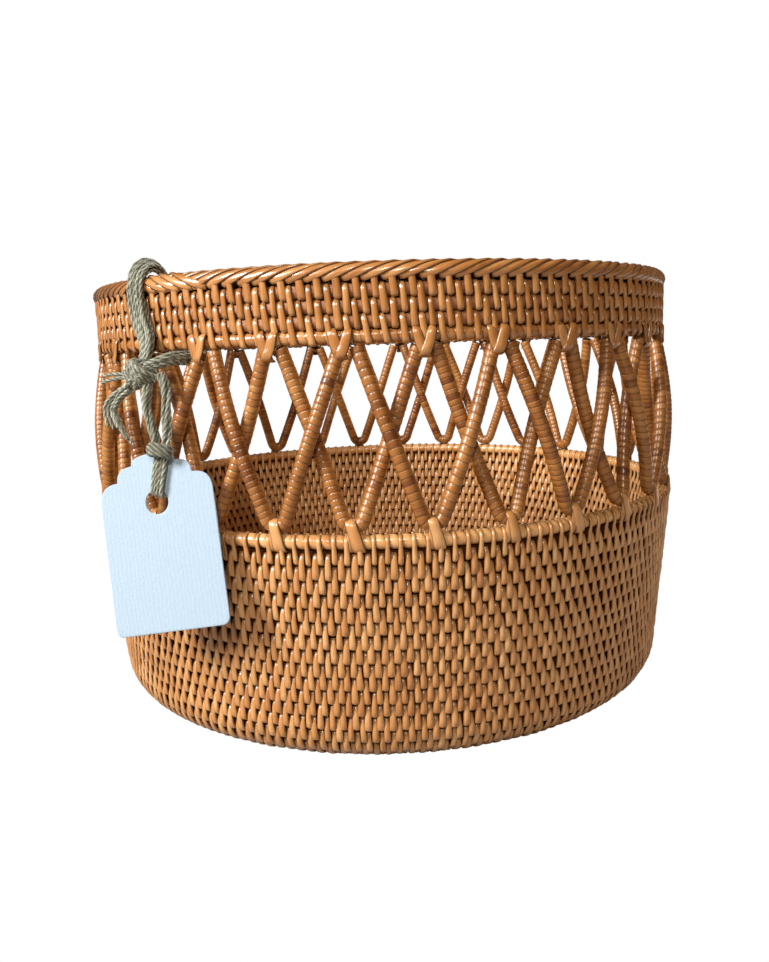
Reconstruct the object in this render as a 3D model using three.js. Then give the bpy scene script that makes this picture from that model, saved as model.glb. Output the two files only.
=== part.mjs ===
// Woven cachepot: a coiled rattan bowl, an open lattice of wrapped canes and a stitched band with a plaited
// rim. A doubled cotton cord round the band carries a card tag.
// Millimetres, +Z up. The origin is the middle of the underside, on the surface that the pot stands on.
// Angles round the pot are measured from the front (-Y) towards +X.
import * as THREE from 'three';

// Facets of every round piece, the same for all so that neighbouring rings keep an even gap
const SEGMENTS = 32;
const ROD_SIDES = 8;
const CANE_SIDES = 6;
const CORD_SIDES = 8;

// Gap between pieces that touch on the real pot
const SEAT_GAP = 0.3;

// Bowl
const FOOT_RADIUS = 142;
const FOOT_ROUND = 17.5;
const WALL_FLARE = THREE.MathUtils.degToRad(5);
const WALL_HEIGHT = 98;
const WALL_THICKNESS = 5.8;
const COURSE_PITCH = 5.8;
const COURSE_GROOVE = 1.9;
const COURSE_CREST = 2.4;
const FLOOR_GROOVE = 1;
const RIM_ROD_DIAMETER = 5.8;

// Lattice between the bowl and the band
const LATTICE_HEIGHT = 72;
const LATTICE_POINTS = 30;
const LATTICE_PHASE = THREE.MathUtils.degToRad(-29);
const CANE_DIAMETER = 5.7;
const CANE_BEND_RADIUS = 4.2;
const CANE_END_SPACING = 6.4;
const CROSSING_GAP = 0.4;
const LEG_STEPS = 4;
const BEND_STEPS = 4;

// Band and plaited rim
const BAND_RADIUS = 143.6;
const BAND_RODS = 4;
const BAND_ROD_DIAMETER = 5.3;
const BRAID_HEIGHT = 7.6;
const BRAID_WIDTH = 9.4;
const BRAID_OVERHANG = 0.6;
const BRAID_SIDES = 12;

// Cord
const CORD_GAP = 0.7;
const CORD_ANGLE = THREE.MathUtils.degToRad(-41);
const LOOP_WIDTH = 7.2;
const LOOP_DEPTH = 4.2;
const LOOP_SLACK = 2;
const STRAND_DIAMETER = 4.2;
const KNOT_WIDTH = 12;
const KNOT_HEIGHT = 12.6;
const KNOT_RADIUS_OUT = 153;
const KNOT_ALONG = 4.5;
const KNOT_DROP = 9.1;
const TAIL_UPPER_DIAMETER = 3.4;
const TAIL_LOWER_DIAMETER = 5.6;
const COLLAR_WIDTH = 11.4;
const COLLAR_DEPTH = 6.4;
const COLLAR_HEIGHT = 6.4;
const TAG_LOOP_WIDTH = 6.4;
const TAG_LOOP_DEPTH = 2.4;

// Tag, with its own axes: X across, Y up, Z out of its face, and its origin in the middle of the hole
const TAG_PLACE = new THREE.Vector3(-90, -132.9, 111.1);
const TAG_FACING = THREE.MathUtils.degToRad(-12.2);
const TAG_LEAN = THREE.MathUtils.degToRad(11.3);
const TAG_TILT = THREE.MathUtils.degToRad(8.9);
const TAG_CORD_TILT = THREE.MathUtils.degToRad(-7);
const TAG_WIDTH = 48;
const TAG_BELOW_HOLE = 51;
const TAG_ABOVE_HOLE = 19.5;
const TAG_SHOULDER = 2;
const TAG_CORNER = 3.6;
const TAG_THICKNESS = 0.8;
const TAG_HOLE_RADIUS = 4.8;
const TAG_OUTER_NOTCH = new THREE.Vector2(16, 9.8);
const TAG_INNER_NOTCH = new THREE.Vector2(9.2, 15.6);

// Finishes
const rattan = (color, roughness) => new THREE.MeshStandardMaterial({ color, roughness, metalness: 0 });
const WALL_FINISH = rattan(0xa9713c, 0.5);
const CANE_FINISH = rattan(0xb57a3c, 0.4);
const BAND_FINISH = rattan(0xb67f47, 0.45);
const CORD_FINISH = rattan(0x9aa78f, 0.9);
const CARD_FINISH = rattan(0xeaf1f6, 0.8);

const pot = new THREE.Group();
pot.name = 'woven_cachepot';

// Adds one named piece to a group.
function addPiece(parent, name, geometry, material) {
  const mesh = new THREE.Mesh(geometry, material);
  mesh.name = name;
  parent.add(mesh);
}

// Revolves a profile of (radius, height) points round Z.
function revolve(profile) {
  const geometry = new THREE.LatheGeometry(profile, SEGMENTS);
  geometry.rotateX(Math.PI / 2);
  return geometry;
}

// Oval ring profile round (radius, height), closed on itself.
function ringProfile(radius, height, width, depth, sides) {
  const points = [];
  for (let i = 0; i <= sides; i += 1) {
    const turn = ((i % sides) / sides) * 2 * Math.PI;
    const across = radius + (width / 2) * Math.cos(turn);
    points.push(new THREE.Vector2(across, height + (depth / 2) * Math.sin(turn)));
  }
  return points;
}

// A path that keeps its own spread of steps, so that a tight bend can have more of them than a straight leg.
class SteppedPath extends THREE.Curve {
  constructor(place) {
    super();
    this.place = place;
  }

  getPoint(t, target = new THREE.Vector3()) {
    return target.copy(this.place(t));
  }

  getPointAt(t, target) {
    return this.getPoint(t, target);
  }

  getTangentAt(t, target) {
    return this.getTangent(t, target);
  }
}

// Tube of oval section along a path. Its width lies along the direction `across` where the path starts.
function ovalTube(path, width, depth, across, sides, steps) {
  const frames = path.computeFrenetFrames(steps, false);
  const roll = Math.atan2(across.dot(frames.binormals[0]), across.dot(frames.normals[0]));
  const middle = new THREE.Vector2();
  const section = new THREE.Shape();
  for (let i = 0; i < sides; i += 1) {
    const turn = (i / sides) * 2 * Math.PI;
    const point = new THREE.Vector2((width / 2) * Math.cos(turn), (depth / 2) * Math.sin(turn));
    point.rotateAround(middle, roll);
    if (i === 0) {
      section.moveTo(point.x, point.y);
    } else {
      section.lineTo(point.x, point.y);
    }
  }
  section.closePath();
  return new THREE.ExtrudeGeometry(section, { steps, extrudePath: path });
}

// Round tube along a path.
function tube(path, diameter, sides, steps) {
  const across = path.computeFrenetFrames(steps, false).normals[0];
  return ovalTube(path, diameter, diameter, across, sides, steps);
}

// Round cord along a smooth curve through points chosen by hand.
function cordTube(points, diameter, steps) {
  return tube(new THREE.CatmullRomCurve3(points, false, 'centripetal'), diameter, CORD_SIDES, steps);
}

// Flat bundle of cord along a smooth curve through points chosen by hand.
function flatCord(points, width, depth, across, steps) {
  const path = new THREE.CatmullRomCurve3(points, false, 'centripetal');
  return ovalTube(path, width, depth, across, CORD_SIDES, steps);
}

// Point at an angle round the pot.
function roundPot(angle, radius, height) {
  return new THREE.Vector3(radius * Math.sin(angle), -radius * Math.cos(angle), height);
}

// Middle line of the bowl's wall, from the edge of the floor to under the rim rod: a quarter round, then a
// straight flare that leaves it without a corner. Gives the point and the outward direction at a length.
const footCentre = new THREE.Vector2(FOOT_RADIUS - FOOT_ROUND, FOOT_ROUND);
const midRound = FOOT_ROUND - WALL_THICKNESS / 2;
const roundLength = midRound * (Math.PI / 2 - WALL_FLARE);
const flareStart = footCentre.y - midRound * Math.sin(WALL_FLARE);
const wallTop = WALL_HEIGHT - RIM_ROD_DIAMETER - SEAT_GAP;
const flareLength = (wallTop - flareStart) / Math.cos(WALL_FLARE);
const wallLength = roundLength + flareLength;

function wallMiddle(length) {
  const turned = Math.min(length, roundLength) / midRound;
  const normal = new THREE.Vector2(Math.sin(turned), -Math.cos(turned));
  const point = footCentre.clone().addScaledVector(normal, midRound);
  const along = Math.max(length - roundLength, 0);
  point.x += along * Math.sin(WALL_FLARE);
  point.y += along * Math.cos(WALL_FLARE);
  return { point, normal };
}

function wallPoint(length, offset) {
  const { point, normal } = wallMiddle(length);
  return point.addScaledVector(normal, offset);
}

// Outline of rods side by side, each with a flat crest: how far along the row a step lies and how deep below
// the crests
function courseOutline(from, to) {
  const courses = Math.round((to - from) / COURSE_PITCH);
  const pitch = (to - from) / courses;
  const steps = [];
  for (let i = 0; i < courses; i += 1) {
    const middle = from + (i + 0.5) * pitch;
    steps.push({ along: middle - pitch / 2, depth: COURSE_GROOVE });
    steps.push({ along: middle - COURSE_CREST / 2, depth: 0 });
    steps.push({ along: middle + COURSE_CREST / 2, depth: 0 });
  }
  steps.push({ along: to, depth: COURSE_GROOVE });
  return steps;
}

// Floor of the pot: ring courses on top, flat underneath where it stands
function baseCoil() {
  const edge = footCentre.x - SEAT_GAP;
  const courses = Math.round(edge / COURSE_PITCH);
  const profile = [new THREE.Vector2(0, 0), new THREE.Vector2(edge, 0)];
  for (let half = 2 * courses; half > 0; half -= 1) {
    const groove = half % 2 === 0 ? FLOOR_GROOVE : 0;
    profile.push(new THREE.Vector2((half / (2 * courses)) * edge, WALL_THICKNESS - groove));
  }
  profile.push(new THREE.Vector2(0, WALL_THICKNESS));
  return revolve(profile);
}

// Level courses of the bowl between two lengths of its middle line, ridged outside and inside
function wallCourses(from, to) {
  const crest = WALL_THICKNESS / 2;
  const steps = courseOutline(from, to);
  const outside = steps.map(({ along, depth }) => wallPoint(along, crest - depth));
  const inside = steps.map(({ along, depth }) => wallPoint(along, depth - crest));
  return revolve([...outside, ...inside.reverse(), outside[0].clone()]);
}

// Rounded foot that turns the floor up into the wall, and the straight flaring wall on top of it
function addBowl() {
  addPiece(pot, 'base_coil', baseCoil(), WALL_FINISH);
  addPiece(pot, 'foot_coil', wallCourses(0, roundLength), WALL_FINISH);
  addPiece(pot, 'wall_coil', wallCourses(roundLength + SEAT_GAP, wallLength), WALL_FINISH);
}

// Rim rod of the bowl, and the hoops of the band above the lattice
const rimRodRadius = wallMiddle(wallLength).point.x;
const rimRodHeight = WALL_HEIGHT - RIM_ROD_DIAMETER / 2;
const bandBottom = WALL_HEIGHT + LATTICE_HEIGHT;
const bandPitch = BAND_ROD_DIAMETER + SEAT_GAP;
const bandRodRadius = BAND_RADIUS - BAND_ROD_DIAMETER / 2;
const braidHeight = bandBottom + BAND_RODS * bandPitch + BRAID_HEIGHT / 2;
const braidRadius = BAND_RADIUS + BRAID_OVERHANG - BRAID_WIDTH / 2;
const potTop = braidHeight + BRAID_HEIGHT / 2;

function addHoops() {
  const rimRod = ringProfile(rimRodRadius, rimRodHeight, RIM_ROD_DIAMETER, RIM_ROD_DIAMETER, ROD_SIDES);
  addPiece(pot, 'wall_rim_hoop', revolve(rimRod), CANE_FINISH);
  for (let i = 0; i < BAND_RODS; i += 1) {
    const height = bandBottom + i * bandPitch + BAND_ROD_DIAMETER / 2;
    const rod = ringProfile(bandRodRadius, height, BAND_ROD_DIAMETER, BAND_ROD_DIAMETER, ROD_SIDES);
    addPiece(pot, `band_hoop_${i + 1}`, revolve(rod), BAND_FINISH);
  }
  const braid = ringProfile(braidRadius, braidHeight, BRAID_WIDTH, BRAID_HEIGHT, BRAID_SIDES);
  addPiece(pot, 'rim_braid', revolve(braid), BAND_FINISH);
}

// Lattice: every cane is a hairpin that stands on the rim rod with its bend and ends under the band. The
// outer canes bow outwards and the inner ones inwards, so that each leg passes one leg of the other layer
// half way up. Across the cane's own plane, X runs round the pot and Y is the height.
const caneRadius = CANE_DIAMETER / 2;
const latticeRadius = (rimRodRadius + bandRodRadius) / 2;
const pointAngle = (2 * Math.PI) / LATTICE_POINTS;
const pointSpacing = pointAngle * latticeRadius;
const bow = (CANE_DIAMETER + CROSSING_GAP) / 2;
const bendFoot = WALL_HEIGHT + SEAT_GAP + caneRadius;
const bendCentre = new THREE.Vector2(0, bendFoot + CANE_BEND_RADIUS);
const legReach = pointSpacing - CANE_END_SPACING / 2;
const legLean = Math.atan2(legReach - CANE_BEND_RADIUS, LATTICE_HEIGHT);
const legTop = new THREE.Vector2(legReach, bandBottom - SEAT_GAP - caneRadius * Math.sin(legLean));

// Angle on the bend's circle where the right leg leaves it as a tangent
function legTangentAngle() {
  const toTop = legTop.clone().sub(bendCentre);
  return toTop.angle() - Math.acos(CANE_BEND_RADIUS / toTop.length());
}

function hairpinPath(angle, side) {
  const leave = legTangentAngle();
  const onBend = (turn) => new THREE.Vector2(Math.cos(turn), Math.sin(turn))
    .multiplyScalar(CANE_BEND_RADIUS).add(bendCentre);
  const legFoot = onBend(leave);
  const steps = 2 * LEG_STEPS + BEND_STEPS;
  const legShare = LEG_STEPS / steps;

  const flat = (t) => {
    const fromEnd = Math.min(t, 1 - t);
    if (fromEnd >= legShare) {
      const share = (t - legShare) / (1 - 2 * legShare);
      return onBend(THREE.MathUtils.lerp(-Math.PI - leave, leave, share));
    }
    const point = legTop.clone().lerp(legFoot, fromEnd / legShare);
    point.x *= Math.sign(t - 0.5);
    return point;
  };

  return new SteppedPath((t) => {
    const { x, y } = flat(t);
    const rise = (y - bendFoot) / (legTop.y - bendFoot);
    const radius = THREE.MathUtils.lerp(rimRodRadius, bandRodRadius, rise) + side * bow * Math.sin(Math.PI * rise);
    return roundPot(angle + x / latticeRadius, radius, y);
  });
}

function addLattice() {
  const steps = 2 * LEG_STEPS + BEND_STEPS;
  for (let i = 0; i < LATTICE_POINTS; i += 1) {
    const outer = i % 2 === 1;
    const number = String(Math.floor(i / 2) + 1).padStart(2, '0');
    const path = hairpinPath(LATTICE_PHASE + i * pointAngle, outer ? 1 : -1);
    const name = `lattice_${outer ? 'outer' : 'inner'}_${number}`;
    addPiece(pot, name, tube(path, CANE_DIAMETER, CANE_SIDES, steps), CANE_FINISH);
  }
}

// Place beside the band where the cord is tied: out from the axis, along the band and up
function atCord(out, along, height) {
  const place = roundPot(CORD_ANGLE, out, height);
  return place.add(new THREE.Vector3(Math.cos(CORD_ANGLE), Math.sin(CORD_ANGLE), 0).multiplyScalar(along));
}

// Oval ball or barrel: a half outline revolved and then widened
function ovalBall(width, depth, height, steps) {
  const outline = [];
  for (let i = 0; i <= steps; i += 1) {
    const turn = (i / steps) * Math.PI - Math.PI / 2;
    const radius = i % steps === 0 ? 0 : Math.cos(turn);
    outline.push(new THREE.Vector2(radius, Math.sin(turn)));
  }
  const geometry = new THREE.LatheGeometry(outline, 2 * CORD_SIDES);
  geometry.scale(width / 2, height / 2, depth / 2);
  return geometry;
}

// Cord round the band, its knot and its two ends
const knotHeight = bandBottom - KNOT_DROP;
const loopHalf = LOOP_DEPTH / 2;

// Place on the cord where it goes round the plaited rim, at a turn from straight out (0) to straight in (pi)
function roundBraid(turn, along) {
  const clear = CORD_GAP + loopHalf;
  const out = braidRadius + (BRAID_WIDTH / 2 + clear) * Math.cos(turn);
  return atCord(out, along, braidHeight + (BRAID_HEIGHT / 2 + clear + LOOP_SLACK) * Math.sin(turn));
}

function addBandCord() {
  const outside = BAND_RADIUS + BRAID_OVERHANG + CORD_GAP + loopHalf;
  const inside = braidRadius - BRAID_WIDTH / 2 - CORD_GAP - loopHalf;
  const under = bandBottom - CORD_GAP - loopHalf;
  const knotTop = knotHeight + KNOT_HEIGHT / 2;
  const route = [
    atCord(KNOT_RADIUS_OUT - 1.4, KNOT_ALONG + 1.4, knotTop + CORD_GAP),
    atCord(outside + 1.9, KNOT_ALONG, knotTop + 4.8),
    atCord(outside, 0.8, bandBottom + 8),
    atCord(outside, -2, bandBottom + 15),
    roundBraid(0, -3),
    roundBraid(Math.PI / 4, -3),
    roundBraid(Math.PI / 2, -3),
    roundBraid((3 * Math.PI) / 4, -3),
    roundBraid(Math.PI, -3),
    atCord(inside, -1, bandBottom + 18),
    atCord(inside, 8, bandBottom + 11),
    atCord(inside, 16.5, bandBottom + 5),
    atCord(inside + 0.4, 18, bandBottom + 0.6),
    atCord(inside + 4, 18, under - 0.6),
    atCord(bandRodRadius + 0.5, 18, under - 0.6),
    atCord(KNOT_RADIUS_OUT - 5, 17.5, under - 0.9),
    atCord(KNOT_RADIUS_OUT - 1.8, 14.5, knotHeight + 4.3),
    atCord(KNOT_RADIUS_OUT - 0.8, KNOT_ALONG + KNOT_WIDTH / 2 + CORD_GAP, knotHeight + 3.3),
  ];
  const across = atCord(0, 1, 0);
  addPiece(pot, 'hang_loop', flatCord(route, LOOP_WIDTH, LOOP_DEPTH, across, 44), CORD_FINISH);

  const knot = ovalBall(KNOT_WIDTH, KNOT_WIDTH, KNOT_HEIGHT, CORD_SIDES);
  knot.rotateX(Math.PI / 2);
  const place = atCord(KNOT_RADIUS_OUT, KNOT_ALONG, knotHeight);
  knot.translate(place.x, place.y, place.z);
  addPiece(pot, 'hang_knot', knot, CORD_FINISH);

  const side = KNOT_ALONG - KNOT_WIDTH / 2 - SEAT_GAP;
  const upper = [
    atCord(KNOT_RADIUS_OUT + 0.4, side, knotHeight - 0.9),
    atCord(KNOT_RADIUS_OUT + 2.5, side - 7, knotHeight - 1.1),
    atCord(KNOT_RADIUS_OUT + 4.5, side - 14, knotHeight - 2.3),
  ];
  addPiece(pot, 'tail_upper', cordTube(upper, TAIL_UPPER_DIAMETER, 5), CORD_FINISH);
  const lower = [
    atCord(KNOT_RADIUS_OUT + 1, side - 0.6, knotHeight - 5.6),
    atCord(KNOT_RADIUS_OUT + 3, side - 7, knotHeight - 9),
    atCord(KNOT_RADIUS_OUT + 4.2, side - 12.7, knotHeight - 15),
    atCord(KNOT_RADIUS_OUT + 4, side - 11.2, knotHeight - 23),
  ];
  addPiece(pot, 'tail_lower', cordTube(lower, TAIL_LOWER_DIAMETER, 7), CORD_FINISH);
}

// Tag outline: straight sides, round lower corners and a top of three lobes that meet in notches
function tagOutline() {
  const half = TAG_WIDTH / 2;
  const outline = new THREE.Shape();
  const lobe = (fromX, fromY, toX, toY) => {
    const peakY = Math.max(fromY, toY);
    const wideX = fromY < toY ? fromX : toX;
    outline.quadraticCurveTo(wideX, peakY, toX, toY);
  };
  outline.moveTo(-half + TAG_CORNER, -TAG_BELOW_HOLE);
  outline.lineTo(half - TAG_CORNER, -TAG_BELOW_HOLE);
  outline.quadraticCurveTo(half, -TAG_BELOW_HOLE, half, -TAG_BELOW_HOLE + TAG_CORNER);
  outline.lineTo(half, TAG_SHOULDER);
  lobe(half, TAG_SHOULDER, TAG_OUTER_NOTCH.x, TAG_OUTER_NOTCH.y);
  lobe(TAG_OUTER_NOTCH.x, TAG_OUTER_NOTCH.y, TAG_INNER_NOTCH.x, TAG_INNER_NOTCH.y);
  lobe(TAG_INNER_NOTCH.x, TAG_INNER_NOTCH.y, 0, TAG_ABOVE_HOLE);
  lobe(0, TAG_ABOVE_HOLE, -TAG_INNER_NOTCH.x, TAG_INNER_NOTCH.y);
  lobe(-TAG_INNER_NOTCH.x, TAG_INNER_NOTCH.y, -TAG_OUTER_NOTCH.x, TAG_OUTER_NOTCH.y);
  lobe(-TAG_OUTER_NOTCH.x, TAG_OUTER_NOTCH.y, -half, TAG_SHOULDER);
  outline.lineTo(-half, -TAG_BELOW_HOLE + TAG_CORNER);
  outline.quadraticCurveTo(-half, -TAG_BELOW_HOLE, -half + TAG_CORNER, -TAG_BELOW_HOLE);
  const hole = new THREE.Path();
  hole.absarc(0, 0, TAG_HOLE_RADIUS, 0, 2 * Math.PI, true);
  outline.holes.push(hole);
  return outline;
}

// Tag, the cord through its hole, the collar over its top edge and the two strands up to the knot
const tagFace = TAG_THICKNESS / 2;
const collarOut = tagFace + SEAT_GAP + COLLAR_DEPTH / 2;
const collarBottom = TAG_ABOVE_HOLE - 2.6;
const collarTop = collarBottom + COLLAR_HEIGHT;

function addTag() {
  const hanger = new THREE.Group();
  hanger.position.copy(TAG_PLACE);
  hanger.rotation.set(Math.PI / 2 - TAG_LEAN, 0, TAG_FACING, 'ZYX');
  const tilted = new THREE.Group();
  tilted.rotation.z = TAG_TILT;
  hanger.add(tilted);
  const corded = new THREE.Group();
  corded.rotation.z = TAG_CORD_TILT;
  hanger.add(corded);
  pot.add(hanger);
  hanger.updateMatrixWorld(true);

  const card = new THREE.ExtrudeGeometry(tagOutline(), {
    depth: TAG_THICKNESS, bevelEnabled: false, curveSegments: 5,
  });
  card.translate(0, 0, -tagFace);
  addPiece(tilted, 'hang_tag', card, CARD_FINISH);

  const cordHalf = TAG_LOOP_DEPTH / 2;
  const beside = tagFace + SEAT_GAP + cordHalf;
  const inHole = Math.sqrt((TAG_HOLE_RADIUS - SEAT_GAP) ** 2 - (TAG_LOOP_WIDTH / 2) ** 2) - SEAT_GAP;
  const overTop = TAG_ABOVE_HOLE + CORD_GAP + cordHalf;
  const loop = [
    new THREE.Vector3(0, collarBottom, beside + 0.2),
    new THREE.Vector3(0, inHole + 7, beside),
    new THREE.Vector3(0, inHole + 2.2, beside),
    new THREE.Vector3(0, inHole + 0.4, beside - 0.7),
    new THREE.Vector3(0, inHole, 0),
    new THREE.Vector3(0, inHole + 0.4, 0.7 - beside),
    new THREE.Vector3(0, inHole + 2.2, -beside),
    new THREE.Vector3(0, TAG_ABOVE_HOLE - 2, -beside),
    new THREE.Vector3(0, overTop - 0.6, -beside + 0.7),
    new THREE.Vector3(0, overTop - 0.1, 0),
  ];
  const across = new THREE.Vector3(1, 0, 0);
  const tagLoop = flatCord(loop, TAG_LOOP_WIDTH, TAG_LOOP_DEPTH, across, 30);
  addPiece(corded, 'tag_loop', tagLoop, CORD_FINISH);

  const collar = ovalBall(COLLAR_WIDTH, COLLAR_DEPTH, COLLAR_HEIGHT, CORD_SIDES);
  collar.translate(0, (collarBottom + collarTop) / 2, collarOut);
  addPiece(corded, 'tag_collar', collar, CORD_FINISH);

  const overCollar = (x, lift) => corded.localToWorld(new THREE.Vector3(x, collarTop + lift, collarOut));
  const left = [
    atCord(KNOT_RADIUS_OUT - 0.4, KNOT_ALONG + 4.2, knotHeight - KNOT_HEIGHT / 2 - SEAT_GAP),
    atCord(KNOT_RADIUS_OUT + 1.5, KNOT_ALONG + 5, knotHeight - 12),
    atCord(KNOT_RADIUS_OUT + 3.5, KNOT_ALONG + 10.1, knotHeight - 20),
    overCollar(-2.3, CORD_GAP),
  ];
  addPiece(pot, 'bridle_left', cordTube(left, STRAND_DIAMETER, 8), CORD_FINISH);
  const right = [
    atCord(KNOT_RADIUS_OUT - 1.5, KNOT_ALONG + 12, knotHeight - 0.4),
    atCord(KNOT_RADIUS_OUT - 0.5, KNOT_ALONG + 15.8, knotHeight - 6.4),
    atCord(KNOT_RADIUS_OUT + 1.5, KNOT_ALONG + 18, knotHeight - 15),
    overCollar(2.1, 5),
    overCollar(2.3, CORD_GAP),
  ];
  addPiece(pot, 'bridle_right', cordTube(right, STRAND_DIAMETER, 8), CORD_FINISH);
}

addBowl();
addHoops();
addLattice();
addBandCord();
addTag();

export default pot;
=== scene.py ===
"""Looks of the woven cachepot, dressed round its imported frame.

Lengths are millimetres up to the moment a mesh is written, which is in metres. Angles round the pot are measured
from the front (-Y) towards +X.
"""

import logging
import math
from dataclasses import dataclass
from enum import Enum

import bpy
import numpy as np
from mathutils import Matrix


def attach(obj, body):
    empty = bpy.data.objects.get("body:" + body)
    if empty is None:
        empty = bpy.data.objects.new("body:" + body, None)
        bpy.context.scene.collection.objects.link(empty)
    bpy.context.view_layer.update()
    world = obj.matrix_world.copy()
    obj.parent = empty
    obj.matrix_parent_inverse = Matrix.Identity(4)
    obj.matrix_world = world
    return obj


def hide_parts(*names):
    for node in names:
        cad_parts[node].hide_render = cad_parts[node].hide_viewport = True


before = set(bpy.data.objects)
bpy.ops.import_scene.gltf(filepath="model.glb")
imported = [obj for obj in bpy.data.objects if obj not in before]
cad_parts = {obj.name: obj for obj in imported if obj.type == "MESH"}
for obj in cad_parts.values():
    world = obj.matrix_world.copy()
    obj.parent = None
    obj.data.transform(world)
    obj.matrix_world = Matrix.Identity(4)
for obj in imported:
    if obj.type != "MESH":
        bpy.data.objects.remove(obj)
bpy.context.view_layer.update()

Array = np.ndarray
Colour = tuple[float, float, float]
Place = tuple[float, float, float]
log = logging.getLogger("cachepot")

MM = 0.001
TURN = 2.0 * math.pi

UP = np.array([0.0, 0.0, 1.0])

# Height that no strip or rod goes under, and how finely curves and plain rods are drawn
LEAST_HEIGHT = 0.02
CURVE_STEPS = 24
ROD_STEPS = 120
ROD_SIDES = 8
CORE_SIDES = 12


class Body(Enum):
    """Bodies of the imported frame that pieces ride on."""

    BASKET = "basket"
    BRIDLE = "bridle"
    TAG = "tag"


class Slot(Enum):
    """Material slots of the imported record."""

    WALL = "wall_rattan"
    CANE = "wrapped_cane"
    BAND = "band_rattan"
    CORD = "cotton_cord"
    CARD = "tag_card"


class Face(Enum):
    """Side of the woven wall that a row of stitches lies on."""

    OUTSIDE = 1
    INSIDE = -1


# Arrays and curves


def unit(vectors: Array) -> Array:
    """Vectors divided by their own lengths."""
    return vectors / np.maximum(np.linalg.norm(vectors, axis=-1, keepdims=True), 1e-9)


def around(angle: Array, radius: Array, height: Array) -> Array:
    """Place at an angle round the pot, at a radius and a height.

    Args:
        angle: turn from the front towards +X, in radians.
        radius: distance from the pot's axis.
        height: distance above the floor.

    Returns:
        (radius * sin angle, -radius * cos angle, height), stacked on a last axis.
    """
    angle, radius, height = np.broadcast_arrays(angle, radius, height)
    return np.stack([radius * np.sin(angle), -radius * np.cos(angle), height], axis=-1)


def outward(angle: Array, rise: Array | float = 0.0) -> Array:
    """Unit direction away from the pot's axis, tipped up from level by the angle `rise`."""
    angle, rise = np.broadcast_arrays(angle, rise)
    return around(angle, np.cos(rise), np.sin(rise))


def full_turn(count: int) -> Array:
    """Angles of `count` points spread evenly round a full turn."""
    return np.arange(count) / count * TURN


def eased(knots: Array, count: int) -> Array:
    """Smooth curve through knots that are evenly spaced in its parameter.

    Args:
        knots: (k, d) values to pass through.
        count: number of values wanted along the curve.

    Returns:
        (count, d) values of the cubic through each pair of knots whose slopes are half the step between the
        neighbours on each side.
    """
    knots = np.asarray(knots, float)
    spare = np.concatenate([2 * knots[:1] - knots[1:2], knots, 2 * knots[-1:] - knots[-2:-1]])
    place = np.linspace(0, len(knots) - 1, count)
    start = np.minimum(place.astype(int), len(knots) - 2)
    t = (place - start)[:, None]
    a, b, c, d = (spare[start + i] for i in range(4))
    slope_b, slope_c = (c - a) / 2, (d - b) / 2
    return (b + slope_b * t + (3 * (c - b) - 2 * slope_b - slope_c) * t**2
            + (2 * (b - c) + slope_b + slope_c) * t**3)


def cord_path(points: list[Array], spacing: float) -> Array:
    """Centre line of a cord through given points.

    Args:
        points: places that the cord goes through.
        spacing: distance between the places returned.

    Returns:
        (n, 3) places at even distances along the centripetal Catmull-Rom curve through the points.
    """
    knots = np.array(points, float)
    spare = np.concatenate([2 * knots[:1] - knots[1:2], knots, 2 * knots[-1:] - knots[-2:-1]])
    gaps = np.sqrt(np.linalg.norm(np.diff(spare, axis=0), axis=1))[:, None]
    before, here, after = gaps[:-2], gaps[1:-1], gaps[2:]
    p0, p1, p2, p3 = spare[:-3], spare[1:-2], spare[2:-1], spare[3:]
    leave = here * ((p1 - p0) / before - (p2 - p0) / (before + here) + (p2 - p1) / here)
    reach = here * ((p2 - p1) / here - (p3 - p1) / (here + after) + (p3 - p2) / after)
    t = np.linspace(0, 1, CURVE_STEPS, endpoint=False)[None, :, None]
    cubic = (p1[:, None] + leave[:, None] * t + (3 * (p2 - p1) - 2 * leave - reach)[:, None] * t**2
             + (2 * (p1 - p2) + leave + reach)[:, None] * t**3)
    line = np.concatenate([cubic.reshape(-1, 3), knots[-1:]])
    travelled = distances(line)
    even = np.linspace(0, travelled[-1], max(4, round(travelled[-1] / spacing) + 1))
    return np.stack([np.interp(even, travelled, line[:, axis]) for axis in range(3)], axis=-1)


def distances(path: Array) -> Array:
    """Distance travelled along a line of places, from 0 at the first one."""
    return np.concatenate([[0.0], np.cumsum(np.linalg.norm(np.diff(path, axis=0), axis=1))])


def path_length(path: Array) -> float:
    """Length of a line of places."""
    return float(distances(path)[-1])


def carried_frame(path: Array, first: Array) -> tuple[Array, Array]:
    """Two directions square to a path that turn with it as little as they can.

    Args:
        path: (n, 3) places along the path.
        first: direction that the first one is nearest to where the path starts.

    Returns:
        The across and facing directions at each place: each across is the one before it, less its share along
        the path.
    """
    run = unit(np.gradient(path, axis=0))
    across = np.empty_like(run)
    held = np.asarray(first, float)
    for step, along in enumerate(run):
        held = unit(held - along * (held @ along))
        across[step] = held
    return across, np.cross(run, across)


def jitter(size: int | tuple[int, ...], spread: float, rng: np.random.Generator) -> Array:
    """Random numbers of the given shape, spread evenly about 0 over a range of width `spread`."""
    return spread * (rng.random(size) - 0.5)


def drift(count: int, wave: float, spread: float, rng: np.random.Generator) -> Array:
    """Random numbers about 0 in a closed row, which change slowly, over about `wave` places."""
    knots = max(4, round(count / wave))
    values = jitter(knots, spread, rng)
    return np.interp(np.arange(count) * knots / count, np.arange(knots + 1), np.append(values, values[0]))


@dataclass(frozen=True)
class ToneSpread:
    """Colour values of a row of strips: they vary slowly over `wave` strips, and from strip to strip."""

    middle: float
    slow: float
    each: float
    wave: float

    def row(self, count: int, rng: np.random.Generator) -> Array:
        """Colour values of a row of `count` strips."""
        return self.middle + drift(count, self.wave, self.slow, rng) + jitter(count, self.each, rng)


# Surfaces


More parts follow.
